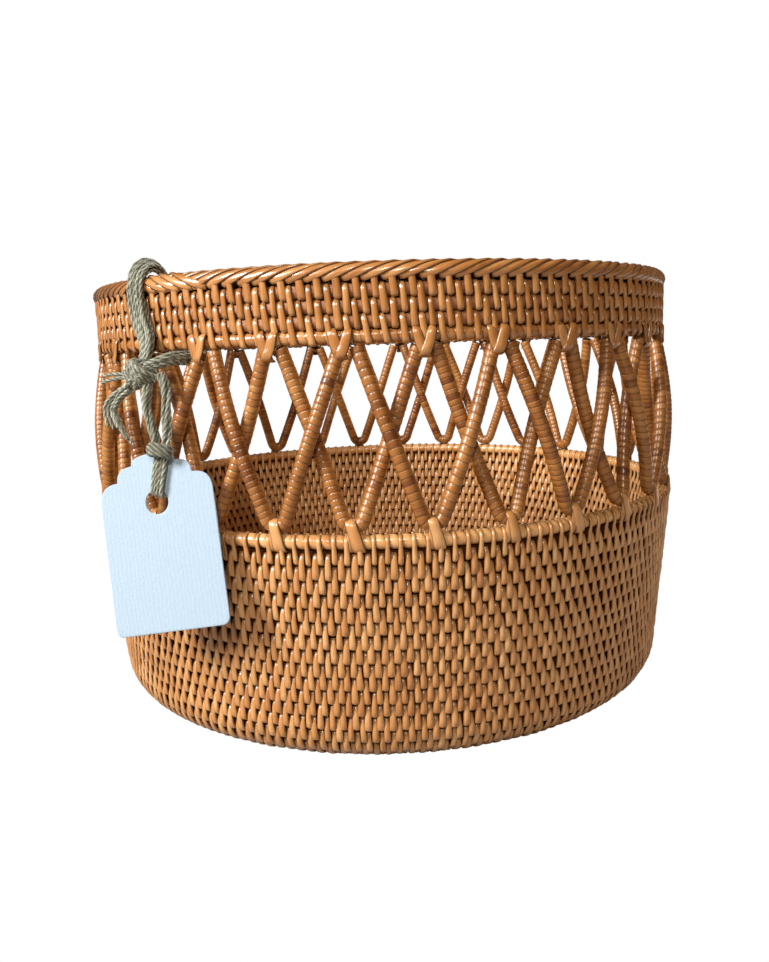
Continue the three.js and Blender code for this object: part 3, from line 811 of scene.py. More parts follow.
@dataclass
class Bowl:
    """Coiled floor, foot and wall: rings of rod sewn to each other with rattan strip."""

    foot_radius: float = 142.0
    foot_round: float = 17.5
    flare: float = math.radians(5.0)
    height: float = 98.0
    thickness: float = 5.8
    rim_rod: float = 5.8
    seat_gap: float = 0.3
    foot_courses: int = 4
    wall_courses: int = 13
    floor_courses: int = 21
    stitches: int = 180
    stitch_share: float = 0.94
    floor_stitch_spacing: float = 4.4
    floor_stitch_courses: float = 1.5
    floor_edge_gap: float = 0.2
    least_floor_stitches: int = 6
    rod_depth: float = 1.25
    rod_overlap: float = 1.05
    rod_shade: tuple[float, int] = (0.3, 1)
    top_rod_extra: float = 0.6
    shape: StitchShape = StitchShape()
    sewing: Sewing = Sewing(sideways=0.55, lean=-0.35, slow_lean=0.9, lean_wave=30, lean_middle=0.35, reach=0.6,
                            widths=(0.9, 1.1))
    end_pull: float = -0.3
    end_pull_share: float = 0.15
    row_wave: float = 0.7
    row_wave_stitches: float = 12
    end_gaps: tuple[float, float] = (0.25, 0.15)
    outside_tones: ToneSpread = ToneSpread(middle=0.6, slow=0.3, each=0.35, wave=14)
    # The inside stitches are set paler than the outside ones: painted light for the lit interior
    inside_tones: ToneSpread = ToneSpread(middle=0.75, slow=0.3, each=0.35, wave=14)
    dark_share: float = 0.02
    dark_tone: float = -0.25
    least_radius: float = 10.0
    rim_inset: float = 0.05
    rim_slant: float = 0.25
    rim_lifts: tuple[float, ...] = (-0.5, -0.08, 0.1, 0.06, -0.15)
    seed: int = 11

    def __post_init__(self) -> None:
        """Works out the middle line of the wall: a quarter round, then a straight flare."""
        self.rng = np.random.default_rng(self.seed)
        self.floor_edge = self.foot_radius - self.foot_round
        self.mid_round = self.foot_round - self.thickness / 2
        self.round_length = self.mid_round * (math.pi / 2 - self.flare)
        flare_start = self.foot_round - self.mid_round * math.sin(self.flare)
        wall_top = self.height - self.rim_rod - self.seat_gap
        self.wall_length = self.round_length + (wall_top - flare_start) / math.cos(self.flare)
        foot = np.linspace(0, self.round_length, self.foot_courses + 1)
        wall = np.linspace(self.round_length, self.wall_length, self.wall_courses + 1)
        over_rim = self.wall_length + self.seat_gap + self.rim_rod
        self.edges = np.concatenate([foot, wall[1:], [over_rim]])
        self.rim_radius = float(self.profile(np.array(self.wall_length), np.array(0.0))[0])
        self.rim_height = self.height - self.rim_rod / 2

    def profile(self, length: Array, offset: Array) -> tuple[Array, Array, Array]:
        """Section of the bowl.

        Args:
            length: distance along the middle line, from the edge of the floor; less than 0 is on the floor.
            offset: distance outwards from the middle line.

        Returns:
            The radius, the height and the upward angle of the outward direction.
        """
        turned = np.clip(length, 0, self.round_length) / self.mid_round
        on_flare = np.maximum(length - self.round_length, 0)
        reach = self.mid_round + offset
        radius = self.floor_edge + np.minimum(length, 0) + reach * np.sin(turned) + on_flare * math.sin(self.flare)
        height = self.foot_round - reach * np.cos(turned) + on_flare * math.cos(self.flare)
        return radius, height, turned - math.pi / 2

    def rods(self, edges: Array) -> Surface:
        """Rings of rod between neighbouring edges, measured along the middle line."""
        middle = (edges[1:] + edges[:-1]) / 2
        tall = np.diff(edges) / 2 * self.rod_overlap
        tall[-1] += self.top_rod_extra
        section = self.profile(middle, np.zeros_like(middle))
        return ring_rods(*section, self.rod_depth, tall, ROD_SIDES, self.rod_shade, self.rng)

    def stitch_row(self, low: float, high: float, count: int, shift: float, face: Face,
                   shape: StitchShape) -> Surface:
        """One ring of stitches that go over the rods between two lengths of the middle line.

        Args:
            low: length at the lower ends.
            high: length at the tucked upper ends.
            count: stitches round the pot.
            shift: offset of the first stitch, counted in stitches.
            face: the side of the wall.
            shape: form of each stitch.

        Returns:
            The stitches as one surface.
        """
        rng, sewing, each = self.rng, self.sewing, (count, 1)
        t = np.array(shape.at)
        radius_at = float(self.profile(np.array(low), np.array(0.0))[0])
        sideways = jitter(each, sewing.sideways, rng)
        sideways = sideways + self.end_pull * np.exp(-t / self.end_pull_share) * rng.random(each)
        lean = sewing.leans(count, rng)
        spin = (np.arange(count)[:, None] + shift) * TURN / count
        angle = spin + (sideways + lean * (t - sewing.lean_middle)) / max(radius_at, self.least_radius)
        reach = jitter(each, sewing.reach, rng)
        wave = drift(count, self.row_wave_stitches, self.row_wave, rng)[:, None]
        below, above = self.end_gaps
        length = low + below + wave + reach * (1 - t) + (high - low - below - above) * t
        lift = sewing.lifts(shape, count, rng)
        radius, height, rise = self.profile(length, face.value * lift)
        centre = around(angle, radius, height)
        out = outward(angle, rise) * face.value
        wide = sewing.half_widths(shape, count, rng)
        tone = (self.outside_tones if face is Face.OUTSIDE else self.inside_tones).row(count, rng)
        tone = tone + self.dark_tone * (rng.random(count) > 1 - self.dark_share)
        row = strips(centre, out, wide, np.array(shape.thickness), tone[:, None], np.array(shape.tuck))
        row.points[:, 2] = np.maximum(row.points[:, 2], LEAST_HEIGHT)
        return row

    def wall_rows(self, first: int, last: int, face: Face) -> Surface:
        """Rows of stitches from course `first` up to `last`, each over its own rod and into the one above it."""
        top = len(self.edges) - 3
        rows = []
        for k in range(first, last):
            low, high = self.edges[k], self.edges[k + 2]
            reach, shape = (high, RIM_STITCH) if k == top else (low + self.stitch_share * (high - low), self.shape)
            rows.append(self.stitch_row(low, reach, self.stitches, 0.5 * (k % 2), face, shape))
        return Surface.joined(rows)

    def floor_rows(self, face: Face) -> Surface:
        """Rings of short stitches across the floor, each over one rod and into the next."""
        pitch = self.floor_edge / self.floor_courses
        rows = []
        for ring in range(self.floor_courses):
            middle = (ring + 0.5) * pitch
            count = max(self.least_floor_stitches, round(TURN * middle / self.floor_stitch_spacing))
            low = ring * pitch - self.floor_edge
            high = min((ring + self.floor_stitch_courses) * pitch - self.floor_edge, -self.floor_edge_gap)
            rows.append(self.stitch_row(low, high, count, 0.5 * (ring % 2), face, FLOOR_STITCH))
        return Surface.joined(rows)

    def build(self) -> None:
        """Makes the floor, the foot, the wall and its rim."""
        foot, wall = self.foot_courses, self.foot_courses + self.wall_courses
        floor_edges = np.linspace(-self.floor_edge, 0, self.floor_courses + 1)
        add_piece("floor_rods", self.rods(floor_edges), PAINTED_SHADE_ROD, Body.BASKET, Slot.WALL, ("base_coil",))
        add_piece("floor_stitches_top", self.floor_rows(Face.INSIDE), WALL_STRIP, Body.BASKET, Slot.WALL)
        add_piece("floor_stitches_under", self.floor_rows(Face.OUTSIDE), WALL_STRIP, Body.BASKET, Slot.WALL)
        for name, first, last, node in (("foot", 0, foot, "foot_coil"), ("wall", foot, wall, "wall_coil")):
            rods = self.rods(self.edges[first:last + 1])
            add_piece(f"{name}_rods", rods, PAINTED_SHADE_ROD, Body.BASKET, Slot.WALL, (node,))
        middle = foot + self.wall_courses // 2
        for name, first, last in (("foot", 0, foot), ("wall_low", foot, middle), ("wall_high", middle, wall)):
            for face, side in ((Face.OUTSIDE, "outside"), (Face.INSIDE, "inside")):
                rows = self.wall_rows(first, last, face)
                add_piece(f"{name}_stitches_{side}", rows, WALL_STRIP, Body.BASKET, Slot.WALL)
        pitch = TURN * self.rim_radius / self.stitches
        winding = Winding(pitch=pitch, slant=self.rim_slant, lifts=self.rim_lifts)
        rod = self.rim_rod / 2 - self.rim_inset
        rim = wound_ring(self.rim_radius, self.rim_height, rod, winding, self.stitches, self.rng)
        add_piece("wall_rim_wrapped", rim, RIM_STRIP_PAINTED_LIGHT, Body.BASKET, Slot.CANE, ("wall_rim_hoop",))


# Lattice


@dataclass
class Lattice:
    """Two zigzags of wrapped cane between the bowl and the band, and the strips that tie them on."""

    bowl: Bowl
    height: float = 72.0
    points: int = 30
    phase: float = math.radians(-29.0)
    cane: float = 5.7
    bend: float = 4.2
    end_spacing: float = 6.4
    crossing_gap: float = 0.4
    band_rod_radius: float = 140.95
    wrap: tuple[float, float] = (2.0, 3.1)
    wrap_slant: float = 0.16
    wrap_numbers: float = 60.0
    cane_tones: float = 0.3
    tangent_step: float = 0.2
    tie_thickness: float = 0.55
    tie_sections: int = 14
    tie_tones: tuple[float, float] = (0.6, 0.4)
    tie_widths: tuple[float, float] = (0.9, 1.1)
    # Painted shade towards both ends of each tie, where it goes under
    tie_tuck: float = 0.7
    tie_tuck_power: int = 6
    tie_slide: float = 0.8
    seed: int = 23

    def __post_init__(self) -> None:
        """Works out a hairpin in its own plane: two straight legs that touch the circle of the bend."""
        self.rng = np.random.default_rng(self.seed)
        cane_radius = self.cane / 2
        self.foot_radius = self.bowl.rim_radius
        self.middle_radius = (self.foot_radius + self.band_rod_radius) / 2
        self.step = TURN / self.points
        self.bow = (self.cane + self.crossing_gap) / 2
        self.bend_foot = self.bowl.height + self.bowl.seat_gap + cane_radius
        self.bend_height = self.bend_foot + self.bend
        self.band_bottom = self.bowl.height + self.height
        reach = self.step * self.middle_radius - self.end_spacing / 2
        lean = math.atan2(reach - self.bend, self.height)
        self.leg_top = np.array([reach, self.band_bottom - self.bowl.seat_gap - cane_radius * math.sin(lean)])
        rise = self.leg_top - (0.0, self.bend_height)
        span = float(np.hypot(*rise))
        self.leave = math.atan2(rise[1], rise[0]) - math.acos(self.bend / span)
        leg = rise - self.bend * np.array([math.cos(self.leave), math.sin(self.leave)])
        self.leg_length = float(np.hypot(*leg))
        self.leg_run = leg / self.leg_length
        self.bend_length = self.bend * (math.pi + 2 * self.leave)
        self.total = 2 * self.leg_length + self.bend_length

    def angle(self, index: Array) -> Array:
        """Angle round the pot of a point of the zigzag."""
        return self.phase + index * self.step

    def radius(self, height: Array, side: float) -> Array:
        """Radius of a cane's middle at a height: a straight line from hoop to hoop, bowed to its own side."""
        rise = (height - self.bend_foot) / (self.leg_top[1] - self.bend_foot)
        straight = self.foot_radius + (self.band_rod_radius - self.foot_radius) * rise
        return straight + side * self.bow * np.sin(math.pi * np.clip(rise, 0, 1))

    def hairpin(self, index: int, side: float, travel: Array) -> Array:
        """Middle line of a hairpin.

        Args:
            index: number of the point that its bend stands on.
            side: 1 for the outer zigzag, -1 for the inner one.
            travel: distance along the cane from its left end.

        Returns:
            Places along it: a leg down, an arc of the bend's radius, and a leg up.
        """
        on_bend = np.clip(travel - self.leg_length, 0, self.bend_length)
        turn = -math.pi - self.leave + on_bend / self.bend
        beyond = np.maximum(self.leg_length - travel, 0) + np.maximum(travel - self.total + self.leg_length, 0)
        across = self.bend * np.cos(turn) + np.sign(travel - self.total / 2) * beyond * self.leg_run[0]
        height = self.bend_height + self.bend * np.sin(turn) + beyond * self.leg_run[1]
        return around(self.angle(index) + across / self.middle_radius, self.radius(height, side), height)

    def wrapped_cane(self, index: int, side: float) -> Surface:
        """A hairpin wound with strip: rings of the cane's radius plus lift, tilted a little from square."""
        wraps = round(self.total / self.rng.uniform(*self.wrap))
        winding = Winding(pitch=self.total / wraps, slant=self.wrap_slant * self.rng.choice([-1, 1]))
        place, lift, tone, tuck = winding.rings(wraps, self.rng)
        s = full_turn(winding.sides)
        travel = np.clip((place[:, None] + winding.slant * np.sin(s)) * winding.pitch, 0, self.total)
        centre = self.hairpin(index, side, travel)
        step = self.tangent_step
        run = unit(self.hairpin(index, side, travel + step) - self.hairpin(index, side, travel - step))
        out = unit(centre * (1.0, 1.0, 0.0))
        across = unit(np.cross(out, run))
        facing = np.cross(run, across)
        size = (self.cane / 2 + lift)[:, None, None]
        points = centre + size * (np.cos(s)[:, None] * across + np.sin(s)[:, None] * facing)
        grain = fibre_grid(self.cane / 2 * s, travel, np.floor(place)[:, None] + self.wrap_numbers * index)
        tone = tone + jitter(1, self.cane_tones, self.rng)
        return Surface.of_tubes(points[None], tone[:, None], tuck[:, None], grain[None], closed=False)

    def lashing(self, route: Array, half_width: tuple[float, ...], start: Array, slide: Array) -> Surface:
        """The same tie at every point of the zigzag.

        Args:
            route: (k, 3) knots of its middle line, upwards, as distance along the rim, radius and height.
            half_width: half its width at each knot.
            start: how far the lower end of each tie is moved along the rim.
            slide: how much further its upper end is moved.

        Returns:
            The ties as one surface.
        """
        rings, each = self.tie_sections, (self.points, 1)
        line = eased(route, rings)
        wide = eased(np.asarray(half_width, float)[:, None], rings)[:, 0]
        share = np.linspace(0, 1, rings)
        along = line[:, 0] + start[:, None] + slide[:, None] * share
        angle = self.angle(np.arange(self.points))[:, None] + along / self.middle_radius
        centre = around(angle, line[:, 1], line[:, 2])
        slope = np.gradient(line[:, 1:], axis=0)
        out = outward(angle, np.arctan2(-slope[:, 0], slope[:, 1]))
        middle, spread = self.tie_tones
        tone = middle + jitter(each, spread, self.rng)
        # Painted shade towards both ends of each tie, where it goes under
        tuck = np.abs(2 * share - 1) ** self.tie_tuck_power * self.tie_tuck
        width = wide * self.rng.uniform(*self.tie_widths, each)
        return strips(centre, out, width, np.full(rings, self.tie_thickness), tone, tuck)

    def top_ties(self) -> Surface:
        """Two strips from the lowest hoop of the band that cross over each pair of cane ends."""
        hoop, low = self.band_rod_radius, self.band_bottom
        cane = float(self.radius(np.array(low - 5.0), 0.0))
        shift = np.where(np.arange(self.points) % 2 == 0, -2.6, -1.2)
        ties = []
        for side, over in ((-1.0, 0.0), (1.0, 0.6)):
            route = np.array([
                (-1.2 * side, cane + 0.4, low - 5.6),
                (-0.8 * side, cane + 2.3, low - 5.2),
                (0.2 * side, cane + 3.1 + over, low - 3.6),
                (1.3 * side, hoop + 3.2 + over, low - 1.2),
                (2.2 * side, hoop + 3.2 + over, low + 1.8),
                (2.8 * side, hoop + 2.9 + over, low + 4.2),
                (3.1 * side, hoop + 1.6, low + 5.8),
            ])
            widths = (1.5, 2.0, 2.2, 2.2, 2.1, 1.9, 1.4)
            ties.append(self.lashing(route, widths, shift, jitter(self.points, self.tie_slide, self.rng)))
        return Surface.joined(ties)

    def bottom_ties(self) -> Surface:
        """Two crossing strips from each hairpin's bend over the rim rod of the bowl, the wider one in front."""
        rod, rim = self.foot_radius, self.bowl.rim_height
        route = np.array([
            (0.0, rod + 0.6, rim - 3.7),
            (0.0, rod + 2.4, rim - 3.0),
            (0.0, rod + 3.3, rim - 0.8),
            (0.0, rod + 3.3, rim + 2.0),
            (0.0, rod + 3.2, rim + 4.2),
            (0.0, rod + 3.1, rim + 6.2),
            (0.0, rod + 2.2, rim + 8.2),
            (0.0, rod - 0.4, rim + 8.9),
        ])
        behind = route - (0.0, self.tie_thickness, 0.0)
        uneven = self.rng.random(self.points)
        broad = (2.1, 2.45, 2.45, 2.35, 2.25, 2.2, 2.1, 1.7)
        narrow = (1.3, 1.6, 1.7, 1.7, 1.6, 1.5, 1.4, 1.1)
        front = self.lashing(route, broad, 2.3 + 0.8 * uneven, -3.0 - 2.4 * uneven)
        back = self.lashing(behind, narrow, -2.4 + uneven, 2.6 - uneven)
        return Surface.joined([back, front])

    def build(self) -> None:
        """Makes the canes and their ties."""
        for index in range(self.points):
            outer = index % 2 == 1
            name = f"{'outer' if outer else 'inner'}_{index // 2 + 1:02d}"
            cane = self.wrapped_cane(index, 1.0 if outer else -1.0)
            add_piece(f"wrapped_cane_{name}", cane, CANE_STRIP, Body.BASKET, Slot.CANE, (f"lattice_{name}",))
        add_piece("lattice_ties_top", self.top_ties(), BAND_STRIP, Body.BASKET, Slot.BAND)
        add_piece("lattice_ties_bottom", self.bottom_ties(), WALL_STRIP, Body.BASKET, Slot.CANE)


# Band and plaited rim

# Where the sections of a plaited strip lie, and its lift, half width and tuck (painted shade towards its ends) at
# shares of its length
PLAIT_AT = (0.0, 0.02, 0.06, 0.18, 0.32, 0.46, 0.6, 0.74, 0.88, 1.0)
PLAIT_LIFT = ((0, 0.02, 0.06, 0.8, 1), (0.2, 0.45, 0.6, 0.3, -1.4))
PLAIT_WIDTH = ((0, 0.02, 0.06, 0.85, 1), (1.5, 1.72, 1.82, 1.72, 0.9))
PLAIT_TUCK = ((0, 0.03, 0.9, 1), (0.2, 0.0, 0.0, 0.6))


@dataclass
class Band:
    """Four hoops sewn together above the lattice, with a plaited border on top."""

    bottom: float = 170.0
    radius: float = 143.6
    rods: int = 4
    rod: float = 5.3
    gap: float = 0.3
    braid_height: float = 7.6
    braid_width: float = 9.4
    braid_overhang: float = 0.6
    stitches: int = 128
    plaits: int = 128
    rod_depth: float = 2.2
    rod_overlap: float = 1.08
    rod_shade: tuple[float, int] = (0.1, 3)
    core_insets: tuple[float, float] = (1.3, 0.2)
    shape: StitchShape = BAND_STITCH
    sewing: Sewing = Sewing(sideways=0.6, lean=-1.3, slow_lean=1.2, lean_wave=9, lean_middle=0.5, reach=0.5,
                            widths=(0.85, 1.1))
    end_gap: float = 0.1
    first_stitch: float = 0.25
    top_width: float = 1.15
    tones: ToneSpread = ToneSpread(middle=0.55, slow=0.3, each=0.4, wave=10)
    wrap_slant: float = 0.2
    plait_tones: ToneSpread = ToneSpread(middle=0.5, slow=0.35, each=0.4, wave=8)
    plait_run: float = 25.0
    plait_climb: tuple[float, float] = (-40.0, 110.0)
    plait_tilt: float = math.radians(20.0)
    plait_thickness: float = 0.85
    plait_widths: tuple[float, float] = (0.92, 1.08)
    plait_uneven: float = 0.25
    plait_inset: float = 0.9
    splice: tuple[float, float] = (math.radians(-39.0), math.radians(-25.0))
    splice_lift: float = 0.5
    splice_tones: tuple[float, float] = (0.5, 0.8)
    seed: int = 37

    def __post_init__(self) -> None:
        """Works out where the hoops and the border lie."""
        self.rng = np.random.default_rng(self.seed)
        self.pitch = self.rod + self.gap
        self.rod_radius = self.radius - self.rod / 2
        self.braid_radius = self.radius + self.braid_overhang - self.braid_width / 2
        self.braid_middle = self.bottom + self.rods * self.pitch + self.braid_height / 2

    def hoop_height(self, number: Array) -> Array:
        """Middle height of a hoop, counted from 0 at the bottom."""
        return self.bottom + number * self.pitch + self.rod / 2

    def stitch_row(self, row: int, face: Face) -> Surface:
        """A ring of upright strips over two neighbouring hoops.

        Args:
            row: number of the lower hoop.
            face: the side of the band.

        Returns:
            The strips as one surface.
        """
        rng, shape, sewing, count = self.rng, self.shape, self.sewing, self.stitches
        each = (count, 1)
        t = np.array(shape.at)
        low = self.bottom + row * self.pitch - self.end_gap
        tall = 2 * self.pitch - self.end_gap
        spin = (np.arange(count)[:, None] + 0.5 * (row % 2) + self.first_stitch) * TURN / count
        lean = sewing.leans(count, rng)
        angle = spin + (jitter(each, sewing.sideways, rng) + lean * (t - sewing.lean_middle)) / self.rod_radius
        height = low + jitter(each, sewing.reach, rng) * (1 - t) + tall * t
        lift = sewing.lifts(shape, count, rng)
        centre = around(angle, self.rod_radius + face.value * lift, height)
        out = outward(angle) * face.value
        wide = sewing.half_widths(shape, count, rng) * (self.top_width if row == self.rods - 1 else 1.0)
        tone = self.tones.row(count, rng)
        return strips(centre, out, wide, np.array(shape.thickness), tone[:, None], np.array(shape.tuck))

    def plait(self, face: Face, start: Array, way: Array, tone: Array, raised: float) -> Surface:
        """Slanting strips over one side of the border, from under its edge to its top.

        A strip climbs the oval (width / 2 * cos f, height / 2 * sin f) while it runs along the rim at an even rate.

        Args:
            face: the side of the border.
            start: angle round the pot of each strip's lower end.
            way: 1 where a strip climbs towards +X at the front, -1 where it climbs the other way.
            tone: colour value of each strip.
            raised: how much further the strips stand off the border.

        Returns:
            The strips as one surface.
        """
        t = np.array(PLAIT_AT)
        lowest, highest = self.plait_climb
        climb = np.radians(lowest + (highest - lowest) * t)
        angle = start[:, None] + self.plait_run * t * way[:, None] / self.braid_radius
        turn = climb if face is Face.OUTSIDE else math.pi - climb
        lift = raised + np.interp(t, *PLAIT_LIFT)
        wide, tall = (size / 2 - self.plait_inset + lift for size in (self.braid_width, self.braid_height))
        centre = around(angle, self.braid_radius + wide * np.cos(turn), self.braid_middle + tall * np.sin(turn))
        rise = np.arctan2(np.sin(turn) / tall, np.cos(turn) / wide)
        out = outward(angle, rise)
        along = unit(np.gradient(centre, axis=1))
        tilt = self.plait_tilt * way[:, None, None] * face.value
        out = unit(out * np.cos(tilt) + np.cross(out, along) * np.sin(tilt))
        width = np.interp(t, *PLAIT_WIDTH) * self.rng.uniform(*self.plait_widths, (len(start), 1))
        thick = np.full(len(t), self.plait_thickness)
        return strips(centre, out, width, thick, tone[:, None], np.interp(t, *PLAIT_TUCK))

    def border(self, face: Face) -> Surface:
        """All the strips on one side of the border, and on the outside a short splice laid over them the other way.
        """
        rng = self.rng
        number = np.arange(self.plaits) + self.plait_uneven * rng.random(self.plaits)
        start = number * TURN / self.plaits - math.pi
        tone = self.plait_tones.row(self.plaits, rng)
        strands = [self.plait(face, start, np.ones(self.plaits), tone, 0.0)]
        if face is Face.OUTSIDE:
            spliced = np.arange(*self.splice, TURN / self.plaits)
            tone = rng.uniform(*self.splice_tones, len(spliced))
            strands.append(self.plait(face, spliced, -np.ones(len(spliced)), tone, self.splice_lift))
        return Surface.joined(strands)

    def build(self) -> None:
        """Makes the hoops, their stitches and the border."""
        wraps = 2 * self.stitches
        winding = Winding(pitch=TURN * self.rod_radius / wraps, slant=self.wrap_slant)
        lowest = wound_ring(self.rod_radius, float(self.hoop_height(0)), self.rod / 2, winding, wraps, self.rng)
        add_piece("band_hoop_wrapped", lowest, BAND_STRIP, Body.BASKET, Slot.BAND, ("band_hoop_1",))
        number = np.arange(1, self.rods)
        rods = ring_rods(self.rod_radius, self.hoop_height(number), 0.0, self.rod_depth,
                         self.pitch / 2 * self.rod_overlap, ROD_SIDES, self.rod_shade, self.rng)
        nodes = tuple(f"band_hoop_{i + 1}" for i in number)
        add_piece("band_rods", rods, BAND_ROD, Body.BASKET, Slot.BAND, nodes)
        for face, side in ((Face.OUTSIDE, "outside"), (Face.INSIDE, "inside")):
            rows = Surface.joined([self.stitch_row(row, face) for row in range(self.rods)])
            add_piece(f"band_stitches_{side}", rows, BAND_STRIP, Body.BASKET, Slot.BAND)
        inset, drop = self.core_insets
        core = ring_rods(self.braid_radius, self.braid_middle, 0.0, self.braid_width / 2 - inset,
                         self.braid_height / 2 - drop, CORE_SIDES, self.rod_shade, self.rng)
        add_piece("rim_core", core, PAINTED_SHADE_ROD, Body.BASKET, Slot.BAND, ("rim_braid",))
        for face, side in ((Face.OUTSIDE, "outside"), (Face.INSIDE, "inside")):
            add_piece(f"rim_plait_{side}", self.border(face), BAND_STRIP, Body.BASKET, Slot.BAND)


# Cord and tag


def oval(count: int, wide: float, deep: float) -> Array:
    """Offsets of yarns spread evenly round an oval of the given half width and half depth."""
    turn = full_turn(count)
    return np.stack([wide * np.cos(turn), deep * np.sin(turn)], axis=-1)


def layers(columns: int, rows: int, wide: float, deep: float) -> Array:
    """Offsets of yarns side by side in flat layers, out to the given half width and half depth."""
    high = np.linspace(-deep, deep, rows) if rows > 1 else np.zeros(1)
    across, high = np.meshgrid(np.linspace(-wide, wide, columns), high)
    return np.stack([across.ravel(), high.ravel()], axis=-1)


NO_FAN = np.zeros((1, 3))
# Painted shade in the grooves between the plies of a yarn
PLY_TUCK = 0.5

# Loose fibres, in millimetres; the leans are shares of a fibre's length
FIBRE_SECTIONS = 5
FIBRE_SIDES = 3
FIBRE_RADIUS = 0.075
FIBRE_TAPER = 0.6
FIBRE_LENGTH = (0.8, 2.4)
FIBRE_LEAN = 1.6
FIBRE_SIDE_LEAN = 0.8
FIBRE_ROOT = 0.15
FIBRE_TONE = 0.15


def loose_fibres(points: Array, middle: Array, count: int, rng: np.random.Generator) -> Surface:
    """Short fibres that stand off a bundle of yarns.

    A fibre leaves the surface along its normal n and bends over along the run r and to its side b: place = root
    + n * (1.1 t - 0.5 t^2) * length + (r * lean + b * side lean) * t^2 * length.

    Args:
        points: (yarns, rings, sides, 3) surface of the yarns.
        middle: (yarns, rings, 3) their middle lines.
        count: number of fibres.
        rng: source of their places and lengths.

    Returns:
        The fibres as one surface.
    """
    yarns, rings, sides = points.shape[:3]
    which, ring = rng.integers(yarns, size=count), rng.integers(1, rings, size=count)
    side = rng.integers(sides, size=count)
    root, core = points[which, ring, side], middle[which, ring]
    normal, run = unit(root - core), unit(core - middle[which, ring - 1])
    t = np.linspace(0, 1, FIBRE_SECTIONS)[:, None]
    each = (count, 1, 1)
    length = rng.uniform(*FIBRE_LENGTH, each)
    lean = rng.uniform(-FIBRE_LEAN, FIBRE_LEAN, each)
    side_lean = rng.uniform(-FIBRE_SIDE_LEAN, FIBRE_SIDE_LEAN, each)
    beside = np.cross(normal, run)
    rise = (1.1 * t - 0.5 * t**2) * length
    line = (root - FIBRE_ROOT * normal)[:, None] + normal[:, None] * rise
    line = line + (run[:, None] * lean + beside[:, None] * side_lean) * t**2 * length
    s = full_turn(FIBRE_SIDES)
    thick = FIBRE_RADIUS * (1 - FIBRE_TAPER * t)
    tubes = sections(line, run[:, None], beside[:, None], thick, s)
    return Surface.of_tubes(tubes, FIBRE_TONE, 0.0, tubes, closed=False)


@dataclass(frozen=True)
class Yarn:
    """Loose cotton yarn: its section has a lobe for each ply, and turns once in the length of the lay."""

    radius: float
    plies: int = 3
    depth: float = 0.12
    lay: float = 9.0
    sides: int = 12
    wander: float = 0.35
    wander_deep: float = 0.6
    sway_length: float = 5.0
    swell: float = 0.07
    swell_length: float = 2.3
    sizes: tuple[float, float] = (0.92, 1.08)
    tones: float = 0.25
    fan_power: float = 1.6
    fibres_per_mm: float = 0.18

    def bundle(self, path: Array, first: Array, offsets: Array, twist: float, rng: np.random.Generator,
               fan: Array = NO_FAN, gather: Array | float = 1.0) -> Surface:
        """Yarns that run together along a path.

        Args:
            path: (n, 3) middle line of the bundle.
            first: direction of the bundle's width where the path starts.
            offsets: (yarns, 2) places of the yarns along the bundle's width and depth.
            twist: length in which the bundle turns once.
            rng: source of their unevenness.
            fan: (yarns, 3) how far each yarn strays from the bundle by its far end.
            gather: share of the offsets that is kept at each point of the path.

        Returns:
            The yarns and the loose fibres on them as one surface.
        """
        count = len(offsets)
        across, facing = carried_frame(path, first)
        travel = distances(path)
        roll = travel / twist * TURN
        sway = self.wander * self.radius * np.sin(travel / self.sway_length + TURN * rng.random((2, count, 1)))
        a, b = offsets[:, :1] * gather, offsets[:, 1:] * gather
        shift_a = a * np.cos(roll) - b * np.sin(roll) + sway[0]
        shift_b = a * np.sin(roll) + b * np.cos(roll) + self.wander_deep * sway[1]
        middle = path + shift_a[..., None] * across + shift_b[..., None] * facing
        middle = middle + fan[:, None] * (travel / travel[-1])[:, None] ** self.fan_power
        s = full_turn(self.sides)
        start = TURN * rng.random((count, 1, 1))
        lobe = np.cos(self.plies * (s - (travel[:, None] / self.lay) * TURN) - start)
        uneven = 1 + self.swell * np.sin(travel[:, None] / self.swell_length + TURN * rng.random((count, 1, 1)))
        size = self.radius * (1 + self.depth * lobe) * uneven * rng.uniform(*self.sizes, (count, 1, 1))
        points = sections(middle, across, facing, size, s)
        spiral = s * self.radius - travel[:, None] / self.lay * self.radius * TURN
        grain = fibre_grid(travel[:, None], spiral, np.arange(count)[:, None, None])
        tone = jitter((count, 1, 1), self.tones, rng)
        yarns = Surface.of_tubes(points, tone, PLY_TUCK * (1 - lobe) / 2, grain, closed=False)
        fibres = round(self.fibres_per_mm * count * travel[-1])
        return Surface.joined([yarns, loose_fibres(points, middle, fibres, rng)])


LOOP_YARN = Yarn(radius=0.85)
END_YARN = Yarn(radius=0.72)
COLLAR_YARN = Yarn(radius=0.95, wander=0.05)
TAG_YARN = Yarn(radius=0.85, wander=0.15)

# Length of one turn of a bundle that lies nearly flat
NO_TWIST = 900.0


